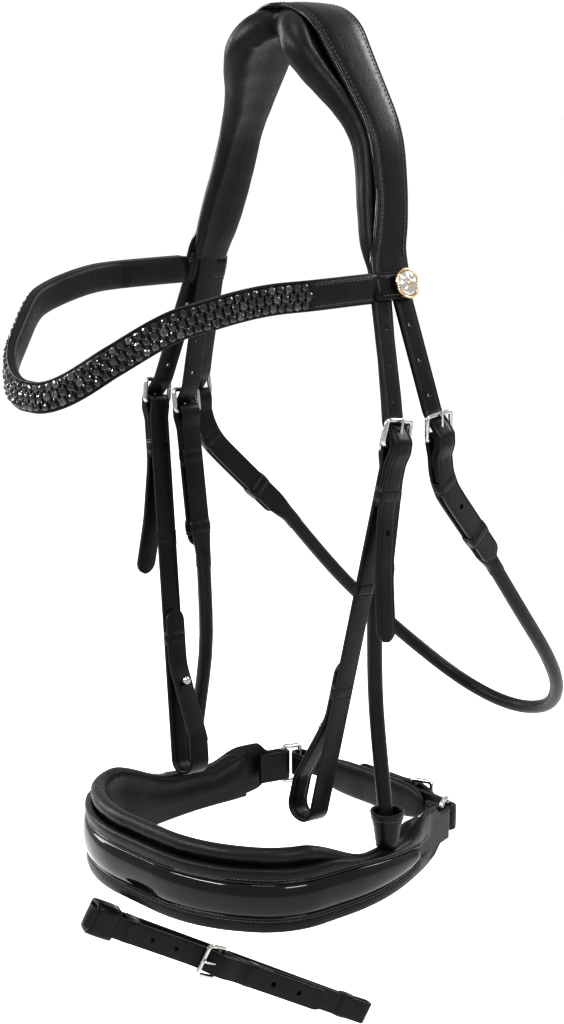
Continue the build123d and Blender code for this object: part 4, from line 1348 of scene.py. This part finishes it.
# ================================================================ browband
BROW_ROUTE = [(79.5, 0.5), (81, -52), (66, -118), (26, -171)]
BROW_RADII = [120, 75, 46, 46, 75, 120]
BROW_FALL = [(-200, -71), (-150, -30), (-118, -10), (-62, -1), (40, 0)]
BROW_HALF = 7.5
BROW_FRONT = 2.5
BROW_BACK = 3.4
CRYSTAL_FROM_Y = -47.0
LOOP_AT = 156.1
LOOP_LOW = -5.3
LOOP_HIGH = 2.9
LOOP_WIDTH = 29.6
LOOP_LENGTH = 15.0
WIDE_WALL = 2.2
LOOP_FACE = LOOP_HIGH + WIDE_WALL


def both_sides(points):
    """A route's points with their mirror images, from the near end to the far end."""
    return list(points) + [(-x, *rest) for x, *rest in reversed(points)]


def ring_route(points, radii, height, step):
    """Route round the head seen from above, at a height that changes along it."""
    path = rounded([(x, y) for x, y in points], radii, step, 3.0)
    places = [Vector((p.x, p.y, height(p.y))) for p in path]
    route = []
    for place, along in zip(places, headings(places)):
        out = UP.cross(along).normalized()
        route.append((place, along.cross(out).normalized() * -1, out))
    return route


def brow_height(y):
    """Height of the browband's middle, which falls toward the forehead."""
    return BROW_Z + curve_value(BROW_FALL, y)


def faceted_stone(mesh, centre, across, along, out, size, turn, material, sides=8):
    """Cut stone: a flat table, sloping facets and a short girdle."""
    rings = ((1.0, -0.5), (1.0, 0.12), (0.82, 0.42), (0.46, 0.66))
    vertices = []
    for level, (reach, lift) in enumerate(rings):
        for k in range(sides):
            angle = 2 * math.pi * (k + (0.5 if level == 2 else 0)) / sides + turn
            vertices.append(
                centre + across * math.cos(angle) * reach * size
                + along * math.sin(angle) * reach * size + out * lift * size
            )
    faces = []
    for level in range(3):
        low = level * sides
        top = low + sides
        for k in range(sides):
            after = (k + 1) % sides
            if level == 0:
                faces.append([low + k, low + after, top + after, top + k])
            elif level == 1:
                faces.append([low + k, low + after, top + k])
                faces.append([low + after, top + after, top + k])
            else:
                faces.append([low + k, top + after, top + k])
                faces.append([low + k, low + after, top + after])
    faces.append([3 * sides + k for k in range(sides)])
    faces.append(list(range(sides))[::-1])
    mesh.add(vertices, faces, material)


def make_browband():
    """Padded strap, fuller beside the crystals and thin where it meets the loops."""
    route = ring_route(both_sides(BROW_ROUTE), BROW_RADII, brow_height, 2.4)
    outline = squircle(BROW_HALF + 0.5, 1.0, 0.55, 0.7, 40)
    section = [(u, v * (BROW_FRONT if v > 0 else BROW_BACK)) for u, v in outline]
    sections = []
    for place, across, out in route:
        swell = 1.0 if place.y < -4 else 0.72
        soft = 1.0 if place.y < CRYSTAL_FROM_Y else 1.35 if place.y < -5 else 1.1
        narrow = 0.94 if place.y > -4 else 1
        sections.append([(u * narrow, v * swell * soft) for u, v in section])
    mesh = Mesh()
    sweep(mesh, route, sections)
    skin_piece(
        mesh, "browband_padded_strap", [SOFT], 60, "browband", ("browband_strap",)
    )
    sewing = Mesh()
    for side in (1, -1):
        part = [row for row in route if row[0].x * side > 0 and CRYSTAL_FROM_Y < row[0].y < -3]
        for sign in (1, -1):
            stitches(sewing, part, [sign * 5.6] * len(part), 3.0, 2.7)
    sew(sewing, "browband_stitching", "browband")
    piping = Mesh()
    for sign in (1, -1):
        path = [p + a * sign * 7.4 + o * 1.5 for p, a, o in route if p.y < -4]
        tube(piping, path, 0.85, sides=10)
    dress(piping.piece("browband_edge_rolls", [EDGE]), "browband")
    make_crystals([row for row in route if row[0].y < CRYSTAL_FROM_Y])
    make_browband_loops()


STONE_PITCH = 4.9
# Each row's place across the strap, stone size, lift, lead in pitches, and gap.
STONE_ROWS = (
    (0.0, 2.5, 3.1, 0.0, STONE_PITCH),
    (4.7, 2.25, 2.9, 0.5, STONE_PITCH),
    (-4.7, 2.25, 2.9, 0.5, STONE_PITCH),
    (2.4, 0.95, 3.7, 0.25, STONE_PITCH / 2),
    (-2.4, 0.95, 3.7, 0.25, STONE_PITCH / 2),
)
SMOKE_SHARE = 0.16


def make_crystals(route):
    """Three staggered rows of large stones with small ones between them."""
    chooser = random.Random(SEED)
    run = lengths([row[0] for row in route])
    bed = Mesh()
    sweep(bed, route, [(6.8, 1.2), (6.8, 2.5), (6.0, 3.0), (-6.0, 3.0), (-6.8, 2.5), (-6.8, 1.2)])
    stones = Mesh()
    for offset, size, lift, lead, gap in STONE_ROWS:
        at = 2.4 + lead * STONE_PITCH
        index = 0
        while at < run[-1] - 2.2:
            while run[index + 1] < at:
                index += 1
            share = (at - run[index]) / (run[index + 1] - run[index])
            place = route[index][0].lerp(route[index + 1][0], share)
            across = route[index][1].lerp(route[index + 1][1], share).normalized()
            out = route[index][2].lerp(route[index + 1][2], share).normalized()
            along = across.cross(out).normalized()
            tilt = across * chooser.uniform(-0.1, 0.1) + along * chooser.uniform(-0.1, 0.1)
            face = (out + tilt).normalized()
            left = squared(across, face)
            fore = left.cross(face)
            scale = size * chooser.uniform(0.95, 1.05)
            glass = 1 if chooser.random() < SMOKE_SHARE else 0
            faceted_stone(
                stones, place + across * offset + out * lift, left, fore, face, scale,
                chooser.uniform(0, 0.8), glass, 8 if size > 1.5 else 6,
            )
            at += gap
    piece = stones.piece("browband_stones", [JET, SMOKE], smooth=False)
    dress(piece, "browband", ("browband_crystals",))
    dress(bed.piece("browband_stone_bed", [EDGE], smooth=False), "browband")


def loop_station(side):
    """Station in the middle of a browband loop, on the crown's leg."""
    centre = Vector((SHOULDER_X, BROW_Y, CROWN_Z)) + DOWN * LOOP_AT
    return plane(mirrored(centre, side), mirrored(DOWN, side), (side, 0, 0))


def make_browband_loops():
    """Wide leather loops that the crown straps pass through, and a badge on each."""
    for side_name, side in SIDES:
        st = loop_station(side)
        make_keeper(
            f"browband_loop_{side_name}", st, 0, LOOP_LOW, LOOP_HIGH, "browband",
            once("browband_loops", side), 0, LOOP_WIDTH, WIDE_WALL, LOOP_LENGTH,
        )
        sewing = Mesh()
        row = [(on(st, 0, LOOP_FACE, x), st["y"], st["z"]) for x in (-13.5, -7, 0, 7, 13.5)]
        for sign in (1, -1):
            stitches(sewing, row, [sign * 5.4] * len(row), 0.05, 2.6, thickness=0.28)
        sew(sewing, f"browband_loop_stitching_{side_name}", "browband")
        make_badge(f"browband_badge_{side_name}", st, side)


def lathe(mesh, centre, side_a, side_b, axis, profile, material, around, wave=None):
    """Turned shape from (radius, height) points; the first and last may lie on the axis."""
    count = len(profile)
    vertices = []
    for level, (radius, height) in enumerate(profile):
        for k in range(around):
            angle = 2 * math.pi * k / around
            lift = height + (wave(radius, angle) if wave else 0)
            reach = max(radius, 0.02)
            vertices.append(
                centre + side_a * math.cos(angle) * reach
                + side_b * math.sin(angle) * reach + axis * lift
            )
    faces = []
    for level in range(count - 1):
        low = level * around
        top = low + around
        for k in range(around):
            after = (k + 1) % around
            faces.append([low + k, low + after, top + after, top + k])
    faces.append(list(range(around))[::-1])
    faces.append([(count - 1) * around + k for k in range(around)])
    mesh.add(vertices, faces, material)


BADGE_BACK = 6.0
BADGE_RIM = [(8.6, 0), (8.6, 1.0), (8.35, 1.55), (7.8, 1.85), (7.2, 1.6), (6.9, 1.2), (6.9, 0)]
BADGE_CENTRE = [(1.9, 2.6), (1.9, 3.1), (1.4, 3.35), (0.7, 3.45), (0, 3.5)]


def make_badge(name, st, side):
    """Round domed badge: gold rim with a rope edge, silver field with plain petals."""
    rear = Vector((0, 1, 0))
    centre = on(st, 0, LOOP_FACE) + rear * BADGE_BACK
    up = st["y"]
    out = st["z"]
    dome = [(6.95, 0.9)]
    for degrees in range(0, 86, 7):
        turn = math.radians(degrees)
        dome.append((6.9 * math.cos(turn), 1.1 + 1.9 * math.sin(turn)))

    def rope(radius, angle):
        return 0.1 * math.sin(angle * 36) if radius > 7.5 else 0

    def petals(radius, angle):
        if radius < 2.0 or radius > 6.6:
            return 0.0
        swell = math.sin((radius - 2.0) / 4.6 * math.pi)
        return 0.42 * swell * (abs(math.cos(angle * 3)) - 0.45)

    mesh = Mesh()
    lathe(mesh, centre, rear, up, out, BADGE_RIM, 0, 144, rope)
    lathe(mesh, centre, rear, up, out, dome, 1, 72, petals)
    lathe(mesh, centre, rear, up, out, BADGE_CENTRE, 0, 36)
    skin_piece(
        mesh, name, [BRASS, SILVER], 35, "browband", once("browband_badges", side)
    )


make_browband()

# ================================================================ noseband
NOSE_ROUTE = [(76.5, 62), (95, -5), (90, -72), (46, -105)]
NOSE_RADII = [150, 48, 90, 90, 48, 150]
LEATHER_TOP = [(-120, -453), (-45, -454), (-8, -461.3), (20, -461.3)]
LEATHER_TOP += [(42, -452.5), (54, -452), (62.5, -458.4)]
LEATHER_LOW = [(-120, -491), (-30, -490), (40, -486), (54, -483), (62.5, -477.6)]
PATENT_TOP = [(-120, -461), (-30, -462), (20, -467), (36, -469)]
PATENT_LOW = [(-120, -482), (-30, -482), (20, -480), (36, -476)]
NOSE_PAD_TOP = [(-120, -443), (-60, -444), (-8, -460.3), (20, -460.3), (34, -455), (46, -455)]
NOSE_PAD_LOW = [(-120, -492), (-30, -491), (34, -486), (46, -485)]
NOSE_MIDDLE = -468.0
FOLD_HALF = 9.6
PATENT_END_Y = 35.5
PAD_END_Y = 46.0


def nose_ring(inward, y_limit, step):
    """Plan route of the noseband, offset toward the horse, as level rows."""
    path = rounded(both_sides(NOSE_ROUTE), NOSE_RADII, step, 2.2)
    rows = []
    for p, along in zip(path, headings(path)):
        out = Vector((-along.y, along.x, 0))
        if p.y <= y_limit:
            rows.append((Vector((p.x, p.y, 0)) - out * inward, UP, out, p.y))
    return rows


def hump(z, low, high, height):
    """Rounded rise between two heights."""
    if z <= low or z >= high:
        return 0.0
    t = (z - low) / (high - low)
    return height * math.sin(t * math.pi) ** 0.6


def nose_rise(z, zt, zb, pt, pb, fade):
    """Height of the rolls above and below the patent strip."""
    return hump(z, pt, zt + 0.9, 2.0 * fade) + hump(z, zb - 0.9, pb, 1.7 * fade)


def make_nose_leather():
    """Main leather: raised stitched rolls above and below the patent strip, and an end
    folded round each square."""
    rearward = Vector((-0.265, 0.964))
    inward = Vector((-0.964, -0.265))
    end = Vector(NOSE_ROUTE[0])
    turn = 3.3
    back = inward * 2 * turn
    tip = end + rearward * (9 + turn)
    corners = [tuple(p) for p in (end - rearward * 9 + back, tip + back, tip)] + NOSE_ROUTE
    radii = [3.2, 3.2, 400] + NOSE_RADII + [400, 3.2, 3.2]
    path = rounded(both_sides(corners), radii, 1.8, 2.2)
    route = []
    sections = []
    tops = []
    for p, along in zip(path, headings(path)):
        out = Vector((-along.y, along.x, 0))
        folded = p.y > 62.5 or (p.y > 50 and abs(p.x) < 73.5)
        zt = NOSE_MIDDLE + FOLD_HALF if folded else curve_value(LEATHER_TOP, p.y)
        zb = NOSE_MIDDLE - FOLD_HALF if folded else curve_value(LEATHER_LOW, p.y)
        pt = curve_value(PATENT_TOP, p.y)
        pb = curve_value(PATENT_LOW, p.y)
        fade = 0.0 if folded else min(1.0, max(0.0, (50 - p.y) / 16))
        route.append((Vector((p.x, p.y, 0)), UP, out))
        tops.append((zt, zb, pt, pb, fade))
        section = []
        for k in range(45):
            z = zb + 0.7 + (zt - zb - 1.4) * k / 44
            section.append((z, 1.5 + nose_rise(z, zt, zb, pt, pb, fade)))
        section += [(zt - 0.15, 0.9), (zt, 0.1), (zt - 0.15, -0.9), (zt - 0.7, -1.5)]
        section += [(zb + 0.7, -1.5), (zb + 0.15, -0.9), (zb, 0.1), (zb + 0.15, 0.9)]
        sections.append(section)
    mesh = Mesh()
    sweep(mesh, route, sections)
    skin_piece(
        mesh, "noseband_main_leather", [STRAP], 60, "noseband",
        ("noseband_leather",),
    )
    sew_nose_leather(route, tops)


def sew_nose_leather(route, tops):
    """Stitching and piping beside the patent strip, and stitching at the folded ends."""
    sewing = Mesh()
    beads = Mesh()
    inside = [(row, top) for row, top in zip(route, tops) if row[0].y < 48 and top[4] > 0.05]
    for which in ("top", "low"):
        places = []
        line = []
        for (place, across, out), (zt, zb, pt, pb, fade) in inside:
            z = pt + 1.9 if which == "top" else pb - 1.7
            rise = nose_rise(z, zt, zb, pt, pb, fade)
            places.append((place + UP * z + out * (1.5 + rise), across, out))
            if place.y < PATENT_END_Y + 1:
                line.append(place + UP * (pt + 0.1 if which == "top" else pb - 0.1) + out * 1.9)
        stitches(sewing, places, [0] * len(places), 0.06, 2.35)
        tube(beads, line, 0.95, sides=10)
    for which in ("top", "low"):
        places = []
        for (place, across, out), (zt, zb, pt, pb, fade) in zip(route, tops):
            z = zt - 2.1 if which == "top" else zb + 2.1
            if 40 < place.y < 60:
                places.append((place + UP * z + out * 1.5, across, out))
        for side in (1, -1):
            run = [row for row in places if row[0].x * side > 73.5]
            stitches(sewing, run, [0] * len(run), 0.1, 2.5)
    sew(sewing, "noseband_stitching", "noseband")
    dress(beads.piece("noseband_piping", [PATENT]), "noseband")


def make_nose_patent():
    """Raised, rounded strip of lacquered leather."""
    rows = nose_ring(0, PATENT_END_Y, 1.8)
    route = []
    sections = []
    run = lengths([row[0] for row in rows])
    for at, (place, across, out, y) in zip(run, rows):
        pt = curve_value(PATENT_TOP, y) - 0.4
        pb = curve_value(PATENT_LOW, y) + 0.4
        near_end = min(at, run[-1] - at)
        full = min(1.0, 0.15 + near_end / 6.0)
        full = math.sqrt(full) if full < 1 else 1.0
        middle = (pt + pb) / 2
        half = (pt - pb) / 2 * min(1.0, 0.55 + near_end / 11.0)
        section = []
        for k in range(33):
            t = -1 + 2 * k / 32
            swell = (1 - abs(t) ** 2.1) ** 0.52
            section.append((middle + half * t, 1.3 + 4.1 * swell * full))
        section += [(middle + half, 0.6), (middle - half, 0.6)]
        route.append((place, across, out))
        sections.append(section)
    mesh = Mesh()
    sweep(mesh, route, sections)
    skin_piece(
        mesh, "noseband_patent_strip", [PATENT], 60, "noseband",
        ("noseband_patent",),
    )


def make_nose_pad():
    """Soft lining, with a full roll along the top edge and a smaller one below."""
    rows = nose_ring(5.3, PAD_END_Y, 2.0)
    run = lengths([row[0] for row in rows])
    route = []
    sections = []
    for at, (place, across, out, y) in zip(run, rows):
        zt = curve_value(NOSE_PAD_TOP, y)
        zb = curve_value(NOSE_PAD_LOW, y)
        near_end = min(at, run[-1] - at)
        full = min(1.0, 0.25 + near_end / 12.0)
        soft = 1 + 0.02 * math.sin(at * 0.23) + 0.015 * math.sin(at * 0.51 + 2)
        roll = 4.7 * full * soft
        low_roll = 3.3 * full
        section = []
        for k in range(15):
            angle = math.radians(-32 + k * 18)
            section.append((zt - roll + roll * math.sin(angle), 0.4 + roll * math.cos(angle)))
        body_top = zt - roll * 1.9
        body_low = zb + low_roll * 1.7
        for k in range(1, 8):
            t = k / 8
            depth = 2.0 + 2.4 * full * math.sin(t * math.pi) ** 0.7
            section.append((body_top + (body_low - body_top) * t, -depth))
        for k in range(12):
            angle = math.radians(200 + k * 17)
            section.append((zb + low_roll + low_roll * math.sin(angle), low_roll * math.cos(angle)))
        section.append((body_low, 1.6))
        section.append((body_top, 1.6))
        route.append((place, across, out))
        sections.append(section)
    mesh = Mesh()
    sweep(mesh, route, sections)
    piece = skin_piece(
        mesh, "noseband_padding", [SOFT], 70, "noseband", ("noseband_pad",)
    )


# The cup from its closed foot up the outside, over the rim and down the inside.
COLLAR_PROFILE = [(0, -9.3), (5.6, -9.3), (6.6, -8.6), (7.0, -4), (8.2, 4), (9.9, 11), (9.95, 12.0)]
COLLAR_PROFILE += [(9.5, 12.6), (8.9, 12.7), (8.1, 12.2), (7.9, 11), (6.4, 3), (5.1, -4.6)]
COLLAR_PROFILE += [(4.0, -5.4), (0, -5.4)]


def make_collars():
    """Leather cup on each side of the noseband that the end of a roll sits in."""

    def uneven_rim(radius, angle):
        return 0.35 * math.sin(2 * angle + 0.6) if radius > 8.5 else 0

    for side_name, side in SIDES:
        centre = Vector((COLLAR_X * side, COLLAR.y, COLLAR.z))
        mesh = Mesh()
        lathe(
            mesh, centre, Vector((1, 0, 0)), Vector((0, 1, 0)), UP, COLLAR_PROFILE, 0, 40,
            uneven_rim,
        )
        skin_piece(
            mesh, f"hanger_collar_{side_name}", [STRAP], 50, "noseband",
            once("hanger_collars", side),
        )
        sewing = Mesh()
        ring = []
        for k in range(41):
            angle = 2 * math.pi * k / 40
            radial = Vector((math.cos(angle), math.sin(angle), 0))
            ring.append((centre + radial * 9.25 + UP * 8.4, UP, radial))
        stitches(sewing, ring, [0] * len(ring), 0.05, 2.4, thickness=0.25)
        sew(sewing, f"hanger_collar_stitching_{side_name}", "noseband")


SQUARE_FRONT = (70.92, 69.80)
SQUARE_REAR = (65.51, 80.51)
SQUARE_HALF_HEIGHT = 12.0
SQUARE_CORNER = 2.4
SQUARE_WIRE = 1.5


def make_squares():
    """Wire squares at the noseband's ends that the chin strap pulls through."""
    for side_name, side in SIDES:
        front = Vector((SQUARE_FRONT[0] * side, SQUARE_FRONT[1], NOSE_MIDDLE))
        rear = Vector((SQUARE_REAR[0] * side, SQUARE_REAR[1], NOSE_MIDDLE))
        up = UP * SQUARE_HALF_HEIGHT
        path = rounded_loop([front + up, rear + up, rear - up, front - up], SQUARE_CORNER, 5, 5)
        mesh = Mesh()
        tube(mesh, path, SQUARE_WIRE, sides=16, closed=True)
        piece = mesh.piece(f"crank_square_{side_name}", [STEEL])
        dress(piece, "noseband", once("crank_squares", side))


make_nose_leather()
make_nose_patent()
make_nose_pad()
make_collars()
make_squares()

# ================================================================ chin strap
CHIN_BAR = joint_place("chin_tongue_lift")
CHIN_STATION = {"o": CHIN_BAR, "x": UP, "y": Vector((1, 0, 0)), "z": Vector((0, 1, 0))}
CHIN_PAD_Y = CHIN_BAR.y - 10.9
CHIN_BOW = 2.7


CHIN_PAD_HALF_LENGTH = 46.0
CHIN_PAD_STEPS = 46
CHIN_HALF = 6.7
SHORT_KEEPER_AT = 20
# A billet from beside its buckle, over the toe and heel bars to the top of the chape.
LAP = [(-3.8, 4.4), (0, 5.8), (3.4, 5.6), (10.5, BILLET_OUT)]


def make_chin_pull():
    """Strap that runs through both squares, folded back and sewn at each end."""
    corners = both_sides([(52.5, 76.2), (69.8, 76.2), (69.8, 84.8), (30, 87.5)])
    path = rounded(corners, [4.2, 4.2, 60, 60, 4.2, 4.2])
    route = []
    for p, along in zip(path, headings(path)):
        route.append((Vector((p.x, p.y, NOSE_MIDDLE)), UP, Vector((along.y, -along.x, 0))))
    strap(
        "chin_pull_strap", route, 7.5, 2.4, "chin", replaces=("chin_strap",),
        stitched=((1, 2.1),),
    )


def make_chin_pad():
    """Soft pad between the chin strap and the horse."""
    rows = []
    sections = []
    for index in range(CHIN_PAD_STEPS + 1):
        x = CHIN_PAD_HALF_LENGTH - 2 * CHIN_PAD_HALF_LENGTH * index / CHIN_PAD_STEPS
        bow = CHIN_BOW * max(0, abs(x) - 30) / 39.8
        full = max(0.04, 1 - abs(x / CHIN_PAD_HALF_LENGTH) ** 5) ** 0.5
        wave = 1 + 0.03 * math.sin(x * 0.32)
        rows.append((Vector((x, CHIN_PAD_Y - bow, NOSE_MIDDLE)), UP, Vector((0, -1, 0))))
        sections.append(squircle(11.4 * full, 3.9 * full * wave, 0.7, 0.8, 28))
    mesh = Mesh()
    sweep(mesh, rows, sections)
    piece = skin_piece(mesh, "chin_padding", [SOFT], 70, "chin", ("chin_pad",))


def make_chin_buckle():
    """Billet, chape, buckle and keeper that close the chin strap behind its pad."""
    st = CHIN_STATION
    places = [(-31, -4.8), (-22, -4.2), (-14.3, 0.4)] + LAP + [(52, BILLET_OUT)]
    route = profile_route(st, places, [10, 10, 20, 8, 5, 6, 10])
    holes = [(on(st, s, BILLET_OUT), st["z"]) for s in (30, 42)]
    strap(
        "chin_billet_strap", route, CHIN_HALF, LEATHER, "chin", holes=holes,
        round_end=True, replaces=("chin_billet",),
    )
    strap(
        "chin_chape_strap", chape_route(st, [(30, -LAYER)], []), CHIN_HALF, LEATHER, "chin",
        replaces=("chin_chape",),
    )
    make_buckle_set("chin", "", st, "chin", ("chin_buckle",))
    make_keeper(
        "chin_fixed_keeper", st, SHORT_KEEPER_AT, STACK_LOW, STACK_HIGH, "chin", ("chin_keeper",)
    )


make_chin_pull()
make_chin_pad()
make_chin_buckle()

# ================================================================ flash strap
FLASH_BAR = joint_place("flash_tongue_lift")
TAB_PLACE = joint_place("flash_swing")
FLASH_BAR_AT = 78.0
FLASH_BACK = -10.4
FLASH_TIP_AT = 74.0
FLASH_END_AT = 105.8
TAB_HALF_DEPTH = 7.3
TAB_WIDTH = 19.0
TAB_LENGTH = 16.0


def flash_station():
    """Station at the flash strap's heel bar, in the strap's own leaning plane."""
    down = (Vector((45, 32, -588)) - TAB_PLACE).normalized()
    return plane(FLASH_BAR, down, (down.y, -down.x, 0))


def make_flash():
    """Flash strap in one loop: round its buckle, up through the tab and back to its tip."""
    st = flash_station()
    tail = [(FLASH_END_AT, -LAYER), (FLASH_END_AT, -LAYER - 5.6), (FLASH_END_AT - 22, -LAYER - 3.2)]
    tail += [(-58, FLASH_BACK), (-87, FLASH_BACK), (-87, 0.4), (-27, 0.2), (-14.3, 0.5)]
    tail += LAP + [(FLASH_TIP_AT, BILLET_OUT)]
    route = chape_route(st, tail, [2.6, 2.6, 20, 60, 5, 5, 40, 20, 8, 5, 6, 10])
    holes = [(on(st, s, BILLET_OUT), st["z"]) for s in (36, 54)]
    holes += [(on(st, s, 0.3), st["z"]) for s in (-46, -30)]
    strap(
        "flash_whole_strap", route, BILLET_HALF, LEATHER, "flash",
        holes=holes, round_end=True, replaces=("flash_strap",),
    )
    make_buckle_set("flash", "", st, "flash", ("flash_buckle",))
    make_keeper(
        "flash_fixed_keeper", st, SHORT_KEEPER_AT, STACK_LOW, STACK_HIGH, "flash",
        ("flash_keepers",),
    )
    make_keeper("flash_rear_keeper", st, -61, FLASH_BACK - LEATHER / 2 - 0.1, 1.5, "flash")
    make_keeper(
        "flash_end_keeper", st, FLASH_END_AT - 17, -LAYER - LEATHER - 3.6, -LAYER + LEATHER / 2,
        "flash", play=0.35,
    )
    make_keeper(
        "flash_tab_loop", st, -FLASH_BAR_AT, FLASH_BACK / 2 - TAB_HALF_DEPTH,
        FLASH_BACK / 2 + TAB_HALF_DEPTH, "noseband", ("flash_tab",), 0, TAB_WIDTH, WIDE_WALL,
        TAB_LENGTH,
    )


make_flash()

# ================================================================ hook studs


STUD_PROFILE = [(0, -4.4), (2.0, -4.4), (2.0, -5.2), (1.25, -6.0), (1.2, -9.6), (1.6, -10.2)]
STUD_PROFILE += [(2.5, -10.7), (2.7, -11.6), (2.3, -12.6), (1.2, -13.1), (0, -13.2)]


def make_hook_studs():
    """Turned stud inside each bit loop, with a neck and a round head."""
    for side_name, side in SIDES:
        st = station(BAR, CHEEK_DOWN, side)
        mesh = Mesh()
        lathe(mesh, on(st, HOOK_AT), st["x"], st["y"], st["z"], STUD_PROFILE, 0, 28)
        skin_piece(
            mesh, f"hook_stud_head_{side_name}", [STEEL], 45, f"cheek_{side_name}",
            (f"hook_stud_{side_name}",),
        )


make_hook_studs()

# ================================================================ stage
FLOOR_DROP = 0.07
FLOOR_HALF = 40.0
VIEW_GAMMA = 0.8
WORLD_STRENGTH = 1.08
AIM = Vector((0, 0, -0.35))
# Each soft light's name, place and size in metres, and energy in watts.
LIGHTS = (
    ("key", (-0.3, -1.15, 0.55), (1.0, 0.12), 26),
    ("side", (1.7, -0.1, 0.75), (0.9, 0.3), 22),
    ("left", (-1.6, -0.5, 0.35), (0.5, 1.0), 22),
    ("rear", (0.3, 1.7, 0.8), (1.2, 0.5), 22),
    ("top", (0.25, -0.3, 1.2), (0.5, 0.5), 10),
)


def make_floor():
    """Pale matt floor under the bridle."""
    low = CAD_BOX[0].z - FLOOR_DROP
    signs = ((-1, -1), (1, -1), (1, 1), (-1, 1))
    corners = [(x * FLOOR_HALF, y * FLOOR_HALF, low) for x, y in signs]
    mesh = bpy.data.meshes.new("floor")
    mesh.from_pydata(corners, [], [(0, 1, 2, 3)])
    nodes = Nodes("floor_white")
    tint = nodes.ramp(nodes.noise(3), [(0.3, grey(0.93)), (0.7, grey(0.95))])
    nodes.shader.inputs["Roughness"].default_value = 0.6
    mesh.materials.append(nodes.finish(tint))
    floor = bpy.data.objects.new("floor", mesh)
    bpy.context.scene.collection.objects.link(floor)


def make_light():
    """White surroundings, large soft lights and the view's tone."""
    scene = bpy.context.scene
    scene.view_settings.view_transform = "Standard"
    scene.view_settings.gamma = VIEW_GAMMA
    world = bpy.data.worlds.new("studio")
    scene.world = world
    world.use_nodes = True
    background = world.node_tree.nodes["Background"]
    background.inputs["Color"].default_value = (1, 1, 1, 1)
    background.inputs["Strength"].default_value = WORLD_STRENGTH
    for name, place, size, energy in LIGHTS:
        light = bpy.data.lights.new(name, "AREA")
        light.shape = "RECTANGLE"
        light.size = size[0]
        light.size_y = size[1]
        light.energy = energy
        lamp = bpy.data.objects.new(name, light)
        scene.collection.objects.link(lamp)
        lamp.location = place
        lamp.rotation_euler = (AIM - lamp.location).to_track_quat("-Z", "Y").to_euler()


make_floor()
make_light()
